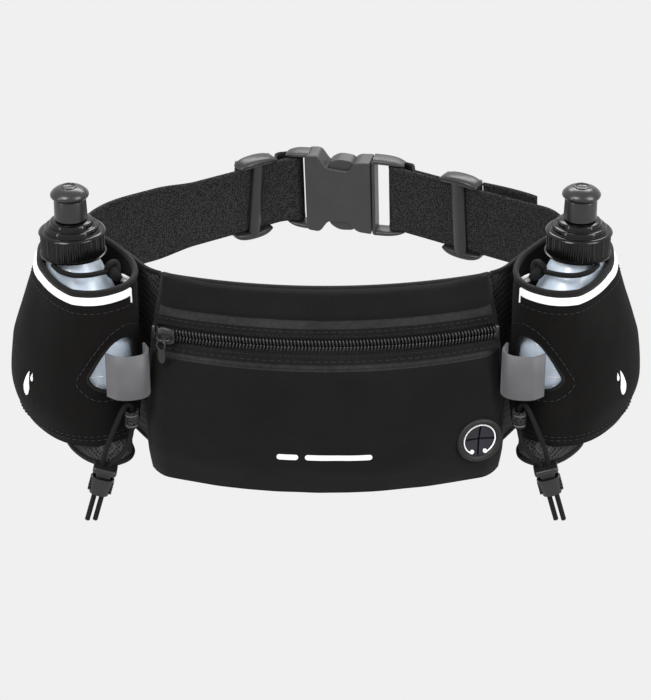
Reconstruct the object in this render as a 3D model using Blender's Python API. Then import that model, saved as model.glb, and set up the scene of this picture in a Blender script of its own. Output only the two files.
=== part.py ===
"""Running waist pack with two drink bottles, as separate named parts.

Units are metres, +Z is up and the pouch faces -Y.  The origin is the middle of the waist
loop, at half the height of the webbing.  Most soft parts are laid out along the belt line:
s is the distance along the inner face of the belt from the middle of the front, out is the
distance away from the wearer and z is the height.  Side -1 is at -X and side +1 is at +X.
"""
import math

import bmesh
import bpy
from mathutils import Matrix, Vector

# Clearances
GAP = 0.0004                    # between parts that touch
SIDES = {-1: "left", 1: "right"}

# Belt line seen from above
FRONT_RADIUS = 0.190            # curve of the pack against the stomach
FRONT_Y = -0.098                # inner face at the middle of the front
ARC_HALF_WIDTH = 0.0695         # half width of that curve
HIP_CORNER = (0.077, -0.0819)   # where the belt turns round the hip
HIP_RADIUS = 0.021
HIP_SLOPE = math.radians(59)    # direction of the run behind the bottle
BACK_RADIUS = 0.045             # rounding where the webbing leaves the hip
STRAP_SLOPE = {-1: 0.70, 1: 0.72}
STRAP_Y = {-1: 0.1029, 1: 0.1022}
BAR_RADIUS = 0.009              # rounding of the webbing over the buckle bars
STRAP_LEAN = math.radians(7)    # the top of the webbing leans towards the wearer
PATH_STEP = 0.002

# Webbing
WEBBING_WIDTH = 0.042
WEBBING_THICKNESS = 0.0016
TAIL_LENGTH = 0.030
WEBBING_PINCH = 0.0022          # each edge draws in by this much before the buckle

# Buckle, in its own frame: x along the belt, y away from the wearer, z up
BUCKLE_CENTRE = (0.0085, 0.0858, 0.0004)
BUCKLE_TURN = math.radians(-14)
BUCKLE_HEIGHT = 0.0455
BUCKLE_THICKNESS = 0.011
HOUSING_X = (-0.0165, 0.0170)
SOCKET_END_X = -0.0290
PLUG_BASE_X = 0.0174
PLUG_END_X = 0.0338
BAR_WIDTH = 0.0036
BAR_THICKNESS = 0.0034
RAIL_HEIGHT = 0.0026
LATCH_X = (-0.0075, 0.0055)     # the windows that the latches show in

# Strap adjusters
ADJUSTER_X = {-1: -0.0362, 1: 0.0685}
ADJUSTER_LENGTH = 0.0225
ADJUSTER_HEIGHT = 0.0452
ADJUSTER_BAR = 0.0066
ADJUSTER_END_BAR = 0.0036
ADJUSTER_THICKNESS = 0.0022

# Pack panels
PANEL_THICKNESS = 0.0040
WING_THICKNESS = 0.0026
PACK_TOP_Z = 0.035
PACK_BOTTOM_Z = -0.056
WING_START = 0.0745
WING_END = 0.160

# Pouch
POUCH_HALF = 0.0830             # half width at the widest place
POUCH_WALL = 0.0016
POUCH_BACK = PANEL_THICKNESS + GAP
ZIP_Z = 0.0145                  # height of the closed chain
ZIP_HALF_ANGLE = math.radians(21.6)
ZIP_START_ANGLE = -ZIP_HALF_ANGLE + 0.042   # the slider at the closed end
ZIP_PULL_HINGE = (0.0, 0.0086, 0.0)         # in the slider's frame
ZIP_SLOT_HALF = 0.0075
COIL_RADIUS = 0.0016
PORT_ANGLE = math.radians(18.2)
PORT_Z = -0.0330
PORT_RADIUS = 0.0104

# Bottles, measured up from the base along the bottle's own axis
BOTTLE_AXIS = (0.1115, -0.0780)  # plan position of the axis at z = 0
BOTTLE_TURN = math.radians(55)   # the flat side faces this far round from the front
BOTTLE_LEAN = math.radians(0.3)  # the top leans away from the wearer's middle
BOTTLE_BASE_Z = -0.0340
BOTTLE_HALF_WIDTH = 0.0320
BOTTLE_HALF_DEPTH = 0.0210
BODY_TOP = 0.038
SHOULDER_TOP = 0.0735
NECK_RADIUS = 0.0105
NECK_TOP = 0.0825
BOTTLE_WALL = 0.0013
CAP_RADIUS = 0.0148
CAP_BASE = 0.0750
CAP_SKIRT_TOP = 0.0865
CAP_TOP = 0.0900
CAP_BORE = 0.0044
STEM_RADIUS = 0.0073
HEAD_RADIUS = 0.0085
SPOUT_TOP = 0.1070
CAP_PITCH = 0.0040              # lift of the cap in one turn

# Bottle sleeves
SLEEVE_HALF_WIDTH = 0.0350
SLEEVE_HALF_DEPTH = 0.0230
SLEEVE_WALL = 0.0014
SLEEVE_HEM = -0.0065            # mean height above the bottle's base
HEM_DIP = 0.0020                # the hem is this much lower at the front
SLEEVE_MOUTH = 0.0700           # mean height of the mouth above the base
MOUTH_RISE = 0.0015             # the outer side of the mouth is this much higher
CUFF_START = 0.049              # height where the elastic cuff begins at the pouch side
CUFF_DIP = 0.013                # it begins this much lower at the outer side
DRAW_START = 0.030              # the outer side is drawn in above this height
DRAW_LENGTH = 0.0445
MOUTH_DRAW = 0.46               # and this is its full share
BULGE = 0.19                    # the outer side stands out lower down by this share
BULGE_HEIGHT = 0.009
BULGE_REACH = 0.028
OUTER_WAY = math.radians(228)   # outwards and frontwards, counted from the pouch side
FRONT_WAY = math.radians(300)
# outline of the window, as (degrees from the pouch side, height above the base)
WINDOW = [(-31, 0.0275), (-22, 0.0232), (-10, 0.0218), (6, 0.0228), (20, 0.0270),
          (27, 0.0345), (22, 0.0425), (8, 0.0462), (-4, 0.0445), (-16, 0.0390), (-26, 0.0325)]

# Sling under each bottle
REST_SHIFT = 0.014              # its middle is this much nearer the pouch
REST_HALF = (0.0195, 0.0120)
REST_TOP = -0.0089
REST_LOW = -0.0172
REST_WALL = 0.0015

# Routes of the small loops and cords on the right side; the left ones are mirrored
RETAINER_ROUTE = [(0.1196, -0.0880, 0.0395), (0.1158, -0.0938, 0.0392), (0.1100, -0.0975, 0.0390),
                  (0.1035, -0.0965, 0.0385), (0.0975, -0.0908, 0.0372), (0.0944, -0.0852, 0.0355)]
RETAINER_TAB_ROUTE = [(0.0928, -0.0842, 0.0352), (0.0900, -0.0850, 0.0340),
                      (0.0868, -0.0880, 0.0325)]
GEL_LOOP_ROUTE = [(0.0800, -0.1020, 0.0), (0.0779, -0.1080, 0.0), (0.0790, -0.1130, 0.0),
                  (0.0840, -0.1158, 0.0), (0.0905, -0.1160, 0.0), (0.0958, -0.1125, 0.0)]
GEL_LOOP_Z = (-0.0130, 0.0085)
BIB_TAB_ROUTE = [(0.0838, -0.1068, 0.0), (0.0836, -0.1108, 0.0), (0.0862, -0.1125, 0.0),
                 (0.0886, -0.1108, 0.0), (0.0888, -0.1072, 0.0)]
BIB_TAB_Z = (-0.0295, -0.0215)
BIB_ROUTE = [(0.1078, -0.1152, -0.0747), (0.1038, -0.1152, -0.0610), (0.1011, -0.1152, -0.0515),
             (0.0994, -0.1152, -0.0455), (0.0978, -0.1150, -0.0390), (0.0947, -0.1142, -0.0310),
             (0.0914, -0.1125, -0.0235), (0.0886, -0.1104, -0.0188), (0.0863, -0.1092, -0.0196),
             (0.0861, -0.1090, -0.0250), (0.0863, -0.1096, -0.0310), (0.0878, -0.1118, -0.0370),
             (0.0905, -0.1138, -0.0410), (0.0935, -0.1150, -0.0435), (0.0957, -0.1152, -0.0458),
             (0.0967, -0.1152, -0.0488), (0.0979, -0.1152, -0.0525), (0.1005, -0.1152, -0.0617),
             (0.1043, -0.1152, -0.0747)]
CORD_RADIUS = 0.00115
TOGGLE_TOP = (0.0995, -0.1152, -0.0520)
TOGGLE_SWING = math.radians(16)
TOGGLE_SIZE = (0.0100, 0.0084, 0.0090)
BUTTON_TOP = 0.0052


def remove_scene_objects():
    for item in list(bpy.data.objects):
        bpy.data.objects.remove(item, do_unlink=True)


def principled(name, colour, roughness, metallic=0.0):
    material = bpy.data.materials.new(name)
    material.use_nodes = True
    shader = material.node_tree.nodes["Principled BSDF"]
    shader.inputs["Base Color"].default_value = (*colour, 1.0)
    shader.inputs["Roughness"].default_value = roughness
    shader.inputs["Metallic"].default_value = metallic
    material.diffuse_color = (*colour, 1.0)
    return material


FINISHES = {
    "neoprene": ((0.022, 0.021, 0.021), 0.85),
    "mesh_cloth": ((0.018, 0.018, 0.019), 0.9),
    "pouch_cloth": ((0.028, 0.028, 0.029), 0.8),
    "binding": ((0.012, 0.012, 0.012), 0.8),
    "webbing": ((0.016, 0.016, 0.016), 0.85),
    "grey_tape": ((0.16, 0.16, 0.17), 0.6),
    "reflective": ((0.82, 0.83, 0.84), 0.4),
    "buckle_plastic": ((0.035, 0.036, 0.038), 0.45),
    "cap_plastic": ((0.012, 0.012, 0.012), 0.25),
    "bottle_plastic": ((0.55, 0.62, 0.70), 0.35),
    "zip_plastic": ((0.01, 0.01, 0.01), 0.25),
    "cord": ((0.02, 0.02, 0.02), 0.8),
    "rubber": ((0.03, 0.035, 0.045), 0.6),
    "steel": ((0.5, 0.5, 0.5), 0.3, 1.0),
}


def finish(name, kind):
    return principled(name + "_" + kind, *FINISHES[kind])


# ---------------------------------------------------------------- meshes

def add_object(name, verts, faces, kind, smooth=40):
    """One mesh object with its own material; faces are split into triangles facing out."""
    mesh = bpy.data.meshes.new(name)
    mesh.from_pydata([tuple(v) for v in verts], [], faces)
    work = bmesh.new()
    work.from_mesh(mesh)
    bmesh.ops.remove_doubles(work, verts=work.verts, dist=1e-6)
    bmesh.ops.triangulate(work, faces=work.faces)
    bmesh.ops.recalc_face_normals(work, faces=work.faces)
    if work.calc_volume(signed=True) < 0:
        bmesh.ops.reverse_faces(work, faces=work.faces)
    work.to_mesh(mesh)
    work.free()
    mesh.shade_smooth()
    mesh.set_sharp_from_angle(angle=math.radians(smooth))
    item = bpy.data.objects.new(name, mesh)
    bpy.context.scene.collection.objects.link(item)
    item.data.materials.append(finish(name, kind))
    return item


def loft_mesh(rings, closed=False, crescent=False):
    """Verts and faces through equal rings, with fan caps unless the rings close on themselves.

    A crescent's ring runs along its back and then returns along its front, with as many points
    on each, so its caps are strips between the two.
    """
    count = len(rings[0])
    verts = [Vector(p) for ring in rings for p in ring]
    faces = []
    spans = len(rings) if closed else len(rings) - 1
    for i in range(spans):
        low = i * count
        high = ((i + 1) % len(rings)) * count
        for j in range(count):
            k = (j + 1) % count
            faces.append((low + j, low + k, high + k, high + j))
    if not closed:
        for start, ring in ((0, rings[0]), (len(verts) - count, rings[-1])):
            if crescent:
                for j in range(count // 2 - 1):
                    faces.append((start + j, start + j + 1,
                                  start + count - 2 - j, start + count - 1 - j))
                continue
            verts.append(sum((Vector(p) for p in ring), Vector()) / count)
            tip = len(verts) - 1
            for j in range(count):
                faces.append((start + j, start + (j + 1) % count, tip))
    return verts, faces


def loft(name, rings, kind, closed=False, smooth=40, crescent=False):
    return add_object(name, *loft_mesh(rings, closed, crescent), kind, smooth)


def cutter(item):
    item.hide_render = True
    item.display_type = "WIRE"
    return item


def boolean(item, tool, operation="DIFFERENCE"):
    modifier = item.modifiers.new(operation.lower(), "BOOLEAN")
    modifier.operation = operation
    modifier.object = tool
    modifier.solver = "EXACT"
    item.modifiers.new("triangles", "TRIANGULATE")
    return item


def block(name, low, high, kind, place=None, bevel=0.0, segments=2):
    """A box between two corners, moved by a matrix, with rounded edges where asked."""
    corners = [(x, y, z) for x in (low[0], high[0]) for y in (low[1], high[1])
               for z in (low[2], high[2])]
    faces = [(0, 1, 3, 2), (4, 6, 7, 5), (0, 4, 5, 1), (2, 3, 7, 6), (0, 2, 6, 4), (1, 5, 7, 3)]
    item = add_object(name, [Vector(c) for c in corners], faces, kind)
    if bevel:
        work = bmesh.new()
        work.from_mesh(item.data)
        bmesh.ops.dissolve_limit(work, angle_limit=0.01, verts=work.verts, edges=work.edges)
        bmesh.ops.bevel(work, geom=work.edges[:], offset=bevel, segments=segments,
                        profile=0.5, affect="EDGES")
        bmesh.ops.triangulate(work, faces=work.faces)
        work.to_mesh(item.data)
        work.free()
    if place is not None:
        item.data.transform(place)
    return item


def turned_rings(profile, segments):
    """Rings of a turned solid from (radius, height) pairs."""
    rings = []
    for radius, height in profile:
        ring = []
        for k in range(segments):
            angle = 2 * math.pi * k / segments
            ring.append(Vector((radius * math.cos(angle), radius * math.sin(angle), height)))
        rings.append(ring)
    return rings


def turned(name, profile, kind, place, segments=28, closed=False, smooth=40):
    rings = turned_rings(profile, segments)
    moved = [[place @ p for p in ring] for ring in rings]
    return loft(name, moved, kind, closed, smooth)


def tube_rings(points, radius, sides=10):
    """Rings square to a smooth line, turned with it so that they don't twist."""
    rings = []
    across = None
    for i, point in enumerate(points):
        before = points[max(i - 1, 0)]
        after = points[min(i + 1, len(points) - 1)]
        along = (after - before).normalized()
        if across is None:
            helper = Vector((0, 0, 1)) if abs(along.z) < 0.9 else Vector((1, 0, 0))
            across = along.cross(helper).normalized()
        across = (across - along * across.dot(along)).normalized()
        other = along.cross(across)
        ring = [point + (across * math.cos(2 * math.pi * k / sides)
                         + other * math.sin(2 * math.pi * k / sides)) * radius
                for k in range(sides)]
        rings.append(ring)
    return rings


def smooth_line(points, step):
    """Points along a Catmull-Rom curve through the given ones, about one step apart."""
    route = [Vector(p) for p in points]
    line = []
    for i in range(len(route) - 1):
        before = route[max(i - 1, 0)]
        start = route[i]
        end = route[i + 1]
        after = route[min(i + 2, len(route) - 1)]
        count = max(2, round((end - start).length / step))
        for k in range(count):
            t = k / count
            line.append(0.5 * (2 * start + (end - before) * t
                               + (2 * before - 5 * start + 4 * end - after) * t ** 2
                               + (3 * start - before - 3 * end + after) * t ** 3))
    line.append(route[-1])
    return line


def blend(low, high, value):
    """0 below low and 1 above high, with a smooth change between."""
    t = min(max((value - low) / (high - low), 0.0), 1.0)
    return t * t * (3 - 2 * t)


# ---------------------------------------------------------------- belt line

def rounded_corner(before, corner, after, radius):
    """Points of the arc that rounds one corner of a plan line."""
    back = (before - corner).normalized()
    ahead = (after - corner).normalized()
    half = back.angle(ahead) / 2
    reach = radius / math.tan(half)
    middle = corner + (back + ahead).normalized() * (radius / math.sin(half))
    start = corner + back * reach - middle
    end = corner + ahead * reach - middle
    count = max(3, round(start.angle(end) * radius / PATH_STEP))
    return [middle + start.slerp(end, k / count).normalized() * radius for k in range(count + 1)]


def buckle_place():
    """Matrix from the buckle's own frame to the world."""
    return (Matrix.Translation(BUCKLE_CENTRE) @ Matrix.Rotation(BUCKLE_TURN, 4, "Z")
            @ Matrix.Rotation(STRAP_LEAN, 4, "X"))


def make_belt_line(side):
    """The inner face of one half of the belt, as (point, outward normal, lean) with lengths."""
    centre_y = FRONT_Y + FRONT_RADIUS
    slope = math.asin(ARC_HALF_WIDTH / FRONT_RADIUS)
    hip = Vector(HIP_CORNER)
    run = Vector((math.cos(HIP_SLOPE), math.sin(HIP_SLOPE)))
    strap_slope = STRAP_SLOPE[side]
    # where the run behind the bottle meets the line of the strap
    reach = ((STRAP_Y[side] - strap_slope * hip.x - hip.y) / (run.y + strap_slope * run.x))
    back = hip + run * reach
    # where the strap meets the line of webbing on the buckle's bars
    place = buckle_place()
    bar_x = (SOCKET_END_X + 0.001) if side < 0 else (PLUG_END_X - 0.001)
    depth = -(BAR_THICKNESS / 2 + GAP + WEBBING_THICKNESS)
    bar = place @ Vector((bar_x, depth, 0))
    inner = place @ Vector((0, depth, 0))
    bar = Vector((bar.x * side, bar.y))
    inner = Vector((inner.x * side, inner.y))
    along = (inner - bar).normalized()
    step = ((STRAP_Y[side] - strap_slope * bar.x - bar.y) / (along.y + strap_slope * along.x))
    bend = bar + along * step
    plan = []
    count = round(ARC_HALF_WIDTH / PATH_STEP)
    for k in range(count + 1):
        angle = slope * k / count
        plan.append(Vector((FRONT_RADIUS * math.sin(angle),
                            centre_y - FRONT_RADIUS * math.cos(angle))))
    plan += rounded_corner(plan[-1], hip, back, HIP_RADIUS)
    lean_start = len(plan)
    plan += rounded_corner(hip, back, bend, BACK_RADIUS)
    lean_end = len(plan) - 1
    strap = bend - plan[-1]
    for k in range(1, 12):
        plan.append(plan[lean_end] + strap * (k / 12 * 0.9))
    bend_start = len(plan)
    plan += rounded_corner(back, bend, inner, BAR_RADIUS)
    plan.append(inner)
    line = []
    length = 0.0
    for i, point in enumerate(plan):
        if i:
            length += (point - plan[i - 1]).length
        ahead = plan[min(i + 1, len(plan) - 1)] - plan[max(i - 1, 0)]
        normal = Vector((ahead.y, -ahead.x)).normalized()
        lean = STRAP_LEAN * blend(lean_start, lean_end, i)
        line.append((length, Vector((point.x * side, point.y)),
                     Vector((normal.x * side, normal.y)), lean))
    marks = {"hip_end": line[lean_start - 1][0], "strap": line[lean_end][0],
             "bend": line[bend_start][0], "end": length}
    return line, marks


BELT = {}
MARKS = {}
for belt_side in SIDES:
    BELT[belt_side], MARKS[belt_side] = make_belt_line(belt_side)


def belt(side, s, out=0.0, z=0.0):
    """World point at a place on the belt; a negative s crosses to the other side."""
    if s < 0:
        side, s = -side, -s
    line = BELT[side]
    i = 1
    while i < len(line) - 1 and line[i][0] < s:
        i += 1
    low, high = line[i - 1], line[i]
    t = (s - low[0]) / (high[0] - low[0])
    point = low[1].lerp(high[1], t)
    normal = low[2].lerp(high[2], t).normalized()
    lean = low[3] + (high[3] - low[3]) * t
    away = Vector((normal.x * math.cos(lean), normal.y * math.cos(lean), math.sin(lean)))
    up = Vector((-normal.x * math.sin(lean), -normal.y * math.sin(lean), math.cos(lean)))
    return Vector((point.x, point.y, 0)) + away * out + up * z


def spread(low, high, count):
    return [low + (high - low) * k / (count - 1) for k in range(count)]


def panel(name, side, stations, inner, outer, kind):
    """A sewn panel; stations are (s, lowest z, highest z) and its edge is slightly rounded."""
    rings = []
    edge = min((outer - inner) * 0.3, 0.0008)
    for s, low, high in stations:
        ring = [(inner, low + edge), (inner + edge, low), (outer - edge, low),
                (outer, low + edge), (outer, high - edge), (outer - edge, high),
                (inner + edge, high), (inner, high - edge)]
        rings.append([belt(side, s, out, z) for out, z in ring])
    return loft(name, rings, kind)


def band(name, side, route, thickness, low, high, kind):
    """A strip of webbing whose middle line is given by (s, out) points, with its width along z."""
    rings = []
    count = len(route)
    for i, (s, out) in enumerate(route):
        before = Vector(route[max(i - 1, 0)])
        after = Vector(route[min(i + 1, count - 1)])
        along = (after - before).normalized()
        shift = Vector((-along.y, along.x)) * thickness / 2
        low_z = low(s) if callable(low) else low
        high_z = high(s) if callable(high) else high
        ring = [(s + shift.x, out + shift.y, low_z), (s - shift.x, out - shift.y, low_z),
                (s - shift.x, out - shift.y, high_z), (s + shift.x, out + shift.y, high_z)]
        rings.append([belt(side, *corner) for corner in ring])
    return loft(name, rings, kind)


# ---------------------------------------------------------------- back of the pack

def make_back_panel():
    reach = WING_START - GAP
    stations = [(s, PACK_BOTTOM_Z, PACK_TOP_Z) for s in spread(-reach, reach, 25)]
    panel("back_panel", 1, stations, 0.0, PANEL_THICKNESS, "mesh_cloth")


def make_wing(side):
    """Padded wing that holds the bottle and narrows to the webbing."""
    half = WEBBING_WIDTH / 2 + 0.003
    stations = []
    for s in spread(WING_START, WING_END, 20):
        taper = blend(WING_START + 0.022, WING_END - 0.004, s)
        top = PACK_TOP_Z + (half - PACK_TOP_Z) * taper
        low = PACK_BOTTOM_Z + (-half - PACK_BOTTOM_Z) * taper
        stations.append((s, low, top))
    panel("wing_" + SIDES[side], side, stations, 0.0, WING_THICKNESS, "mesh_cloth")


# ---------------------------------------------------------------- pouch

def arc_point(angle, depth, z):
    """A place in front of the pack: angle round the front curve, depth from its inner face."""
    reach = FRONT_RADIUS + depth
    return Vector((reach * math.sin(angle), FRONT_Y + FRONT_RADIUS - reach * math.cos(angle), z))


POUCH_PROFILE = [(-0.0612, 0.0130, 0.90), (-0.0598, 0.0205, 0.96), (-0.0550, 0.0255, 1.0),
                 (-0.0430, 0.0290, 1.01), (-0.0250, 0.0305, 1.0), (-0.0100, 0.0295, 0.985),
                 (0.0030, 0.0262, 0.965), (0.0090, 0.0236, 0.955), (0.0200, 0.0190, 0.93),
                 (0.0250, 0.0160, 0.915), (0.0310, 0.0110, 0.90), (0.0345, 0.0075, 0.885)]


def pouch_depth(z):
    """Depth of the front face at the middle of the pouch, with its half width as a fraction."""
    for low, high in zip(POUCH_PROFILE, POUCH_PROFILE[1:]):
        if z <= high[0]:
            t = max(0.0, (z - low[0]) / (high[0] - low[0]))
            return low[1] + (high[1] - low[1]) * t, low[2] + (high[2] - low[2]) * t
    return POUCH_PROFILE[-1][1:]


def pouch_ring(z, inset=0.0):
    """Plan outline of the pouch at one height: a flat back, rounded sides and a full front."""
    depth, share = pouch_depth(z)
    half = POUCH_HALF * share - inset
    back = POUCH_BACK + inset
    front = max(depth - inset, back + 0.0012)
    round_off = min(0.011, (front - back) * 0.8)
    ring = []
    for k in range(23):
        u = -1 + 2 * k / 22
        ring.append((u * (half - 0.001), back))
    for k in range(23):
        u = 1 - 2 * k / 22
        x = u * half
        edge = max(0.0, abs(x) - (half - round_off)) / round_off
        swell = 0.88 + 0.12 * (1 - u * u)
        full = back + (front - back) * swell
        low = back + 0.25 * (front - back)
        ring.append((x, low + (full - low) * math.sqrt(max(0.0, 1 - edge ** 2))))
    return [arc_point(x / (FRONT_RADIUS + d), d, z) for x, d in ring]


def make_pouch():
    """Hollow pouch with a slot for the zip all along its front."""
    body = loft("pouch_body", [pouch_ring(z) for z, _, _ in POUCH_PROFILE], "pouch_cloth",
                crescent=True)
    levels = [z for z, _, _ in POUCH_PROFILE[1:-1]]
    hollow = loft("pouch_hollow", [pouch_ring(z + (0.0012 if z < 0 else 0), POUCH_WALL)
                                   for z in levels], "pouch_cloth", crescent=True)
    boolean(body, cutter(hollow))
    rings = []
    for angle in spread(-ZIP_HALF_ANGLE, ZIP_HALF_ANGLE, 19):
        rings.append([arc_point(angle, depth, z) for depth, z in
                      ((0.0100, ZIP_Z - ZIP_SLOT_HALF), (0.0400, ZIP_Z - ZIP_SLOT_HALF),
                       (0.0400, ZIP_Z + ZIP_SLOT_HALF), (0.0100, ZIP_Z + ZIP_SLOT_HALF))])
    boolean(body, cutter(loft("pouch_slot", rings, "pouch_cloth")))
    hole = turned("port_hole", [(PORT_RADIUS - 0.003, -0.006), (PORT_RADIUS - 0.003, 0.006)],
                  "pouch_cloth", port_place(), 20)
    boolean(body, cutter(hole))


def zip_depth(z):
    """Depth of the zip's middle layer, which follows the slope of the pouch."""
    return pouch_depth(z)[0] * 0.94 - 0.0012


def arc_strip(name, section, reach, kind, count=23):
    """A strip that runs round the front of the pouch, with a (depth, z) section."""
    rings = [[arc_point(angle, depth, z) for depth, z in section]
             for angle in spread(-reach, reach, count)]
    return loft(name, rings, kind)


def make_zip():
    """Two tapes, two rows of coil, end stops, and a slider that carries a pull."""
    edge = ZIP_SLOT_HALF - GAP
    for name, way in (("upper", 1), ("lower", -1)):
        inner = ZIP_Z + way * (2 * COIL_RADIUS + GAP)
        outer = ZIP_Z + way * edge
        section = [(zip_depth(inner) - 0.0004, inner), (zip_depth(inner) + 0.0004, inner),
                   (zip_depth(outer) + 0.0004, outer), (zip_depth(outer) - 0.0004, outer)]
        arc_strip("zip_tape_" + name, section, ZIP_HALF_ANGLE - 0.004, "zip_plastic")
        middle = ZIP_Z + way * (COIL_RADIUS + GAP / 2)
        coil = [(zip_depth(ZIP_Z) + COIL_RADIUS * math.cos(2 * math.pi * k / 8),
                 middle + COIL_RADIUS * math.sin(2 * math.pi * k / 8)) for k in range(8)]
        arc_strip("zip_coil_" + name, coil, ZIP_HALF_ANGLE - 0.022, "zip_plastic")
    place = zip_place(ZIP_START_ANGLE)
    slide = block("zip_slider", (-0.0042, 0.0022, -0.0040), (0.0042, 0.0036, 0.0040),
                  "zip_plastic", None, 0.0005)
    bridge = block("slider_bridge", (-0.0034, 0.0030, -0.0007), (0.0034, 0.0074, 0.0007),
                   "zip_plastic", None)
    for item in (slide, bridge):
        item.data.transform(place)
    boolean(slide, cutter(bridge), "UNION")
    block("zip_pull", (-0.0020, -0.0006, -0.0105), (0.0020, 0.0006, 0.0008),
          "zip_plastic", place @ Matrix.Translation(ZIP_PULL_HINGE), 0.0003, 1)
    for end, name in ((-1, "left"), (1, "right")):
        stop = zip_place(end * (ZIP_HALF_ANGLE - 0.011))
        block("zip_stop_" + name, (-0.0009, -0.0016, -0.0032), (0.0009, 0.0020, 0.0032),
              "zip_plastic", stop, 0.0003, 1)


def zip_place(angle):
    """Frame on the zip: x along the chain to the left, y out of the pouch and z up."""
    depth = zip_depth(ZIP_Z)
    return (Matrix.Translation(arc_point(angle, depth, ZIP_Z))
            @ Matrix.Rotation(angle + math.pi, 4, "Z"))


def port_place():
    """Frame of the earphone port: z points out of the pouch's face."""
    depth = pouch_depth(PORT_Z)[0]
    point = arc_point(PORT_ANGLE, depth * 0.917, PORT_Z)
    return (Matrix.Translation(point) @ Matrix.Rotation(PORT_ANGLE, 4, "Z")
            @ Matrix.Rotation(math.radians(4), 4, "Y") @ Matrix.Rotation(math.pi / 2, 4, "X"))


def make_port():
    """Rubber grommet for an earphone lead, with a slit disc."""
    turned("earphone_port", [(PORT_RADIUS - 0.0035, -0.0034), (PORT_RADIUS - 0.0035, 0.0014),
                             (PORT_RADIUS, 0.0014), (PORT_RADIUS, 0.0024),
                             (PORT_RADIUS - 0.0016, 0.0032), (PORT_RADIUS - 0.0030, 0.0022),
                             (0.0012, 0.0020), (0.0012, -0.0030)],
           "rubber", port_place(), 24, closed=True)


# ---------------------------------------------------------------- bottles and sleeves

def bottle_place(side):
    """Frame of a bottle: z up its axis from the base, -y out of its flat side."""
    return (Matrix.Translation((side * BOTTLE_AXIS[0], BOTTLE_AXIS[1], 0))
            @ Matrix.Rotation(side * BOTTLE_LEAN, 4, "Y")
            @ Matrix.Rotation(side * BOTTLE_TURN, 4, "Z")
            @ Matrix.Translation((0, 0, BOTTLE_BASE_Z)))


def oval(half_width, half_depth, height, count=32, power=2.3):
    """A rounded oval, slightly fuller than an ellipse."""
    ring = []
    for k in range(count):
        angle = 2 * math.pi * k / count
        c, s = math.cos(angle), math.sin(angle)
        ring.append(Vector((half_width * math.copysign(abs(c) ** (2 / power), c),
                            half_depth * math.copysign(abs(s) ** (2 / power), s), height)))
    return ring


def bottle_ring(height, inset=0.0):
    if height <= BODY_TOP:
        share = 0.66 + 0.34 * math.sqrt(blend(-0.001, 0.014, height))
        return oval(BOTTLE_HALF_WIDTH * share - inset, BOTTLE_HALF_DEPTH * share - inset, height)
    t = min(1.0, (height - BODY_TOP) / (SHOULDER_TOP - BODY_TOP))
    narrow = t ** 1.25
    width = BOTTLE_HALF_WIDTH + (NECK_RADIUS - BOTTLE_HALF_WIDTH) * narrow
    depth = BOTTLE_HALF_DEPTH + (NECK_RADIUS - BOTTLE_HALF_DEPTH) * narrow
    return oval(width - inset, depth - inset, height, power=2.3 - 0.3 * t)


def make_bottle(side):
    name = SIDES[side]
    place = bottle_place(side)
    shoulder = spread(BODY_TOP, SHOULDER_TOP, 7)
    outside = [0.0, 0.001, 0.003, 0.007, 0.014] + shoulder + [NECK_TOP]
    inside = [NECK_TOP] + shoulder[::-1] + [0.014, 0.007, 0.003, BOTTLE_WALL]
    rings = [bottle_ring(h) for h in outside] + [bottle_ring(h, BOTTLE_WALL) for h in inside]
    loft("bottle_" + name, [[place @ p for p in ring] for ring in rings], "bottle_plastic")
    neck = NECK_RADIUS + GAP
    turned("bottle_cap_" + name, [
        (CAP_RADIUS - 0.0003, CAP_BASE), (CAP_RADIUS, CAP_BASE + 0.001),
        (CAP_RADIUS, CAP_SKIRT_TOP - 0.001), (CAP_RADIUS - 0.0012, CAP_SKIRT_TOP),
        (0.0118, CAP_SKIRT_TOP + 0.0004), (0.0116, CAP_TOP), (0.0095, CAP_TOP + 0.0012),
        (CAP_BORE, CAP_TOP + 0.0012), (CAP_BORE, CAP_SKIRT_TOP - 0.0018),
        (neck, CAP_SKIRT_TOP - 0.0018), (neck, CAP_BASE)],
        "cap_plastic", place, 30, closed=True)
    turned("cap_seal_" + name, [
        (NECK_RADIUS - 0.0004, NECK_TOP + GAP), (NECK_RADIUS - 0.0004, NECK_TOP + 0.0018),
        (CAP_BORE + 0.0006, NECK_TOP + 0.0018), (CAP_BORE + 0.0006, NECK_TOP + GAP)],
        "rubber", place, 24, closed=True)
    stem = CAP_TOP + 0.0016
    turned("spout_" + name, [
        (CAP_BORE - GAP, CAP_SKIRT_TOP - 0.0010), (CAP_BORE - GAP, stem), (STEM_RADIUS, stem),
        (STEM_RADIUS - 0.0003, SPOUT_TOP - 0.0062), (HEAD_RADIUS, SPOUT_TOP - 0.0046),
        (HEAD_RADIUS, SPOUT_TOP - 0.0030), (HEAD_RADIUS - 0.0014, SPOUT_TOP - 0.0012),
        (0.0040, SPOUT_TOP)], "cap_plastic", place, 26)


def way_round(side, angle):
    """Angle round the sleeve counted from its pouch side, the same for both sides."""
    return angle if side < 0 else math.pi - angle


def sleeve_share(turn, height):
    """The sleeve's outer side bulges low down and is drawn in towards the mouth."""
    outer = max(0.0, math.cos(turn - OUTER_WAY))
    rise = max(0.0, (height - DRAW_START) / DRAW_LENGTH)
    mouth = 1 - MOUTH_DRAW * outer * rise ** 1.35
    bulge = 1 + BULGE * outer * math.exp(-((height - BULGE_HEIGHT) / BULGE_REACH) ** 2)
    return mouth * bulge * (0.86 + 0.14 * math.sqrt(blend(-0.008, 0.012, height)))


def sleeve_ends(turn):
    """Heights of the hem and the mouth at one angle."""
    hem = SLEEVE_HEM - HEM_DIP * math.cos(turn - FRONT_WAY)
    return hem, SLEEVE_MOUTH - MOUTH_RISE * math.cos(turn)


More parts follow.
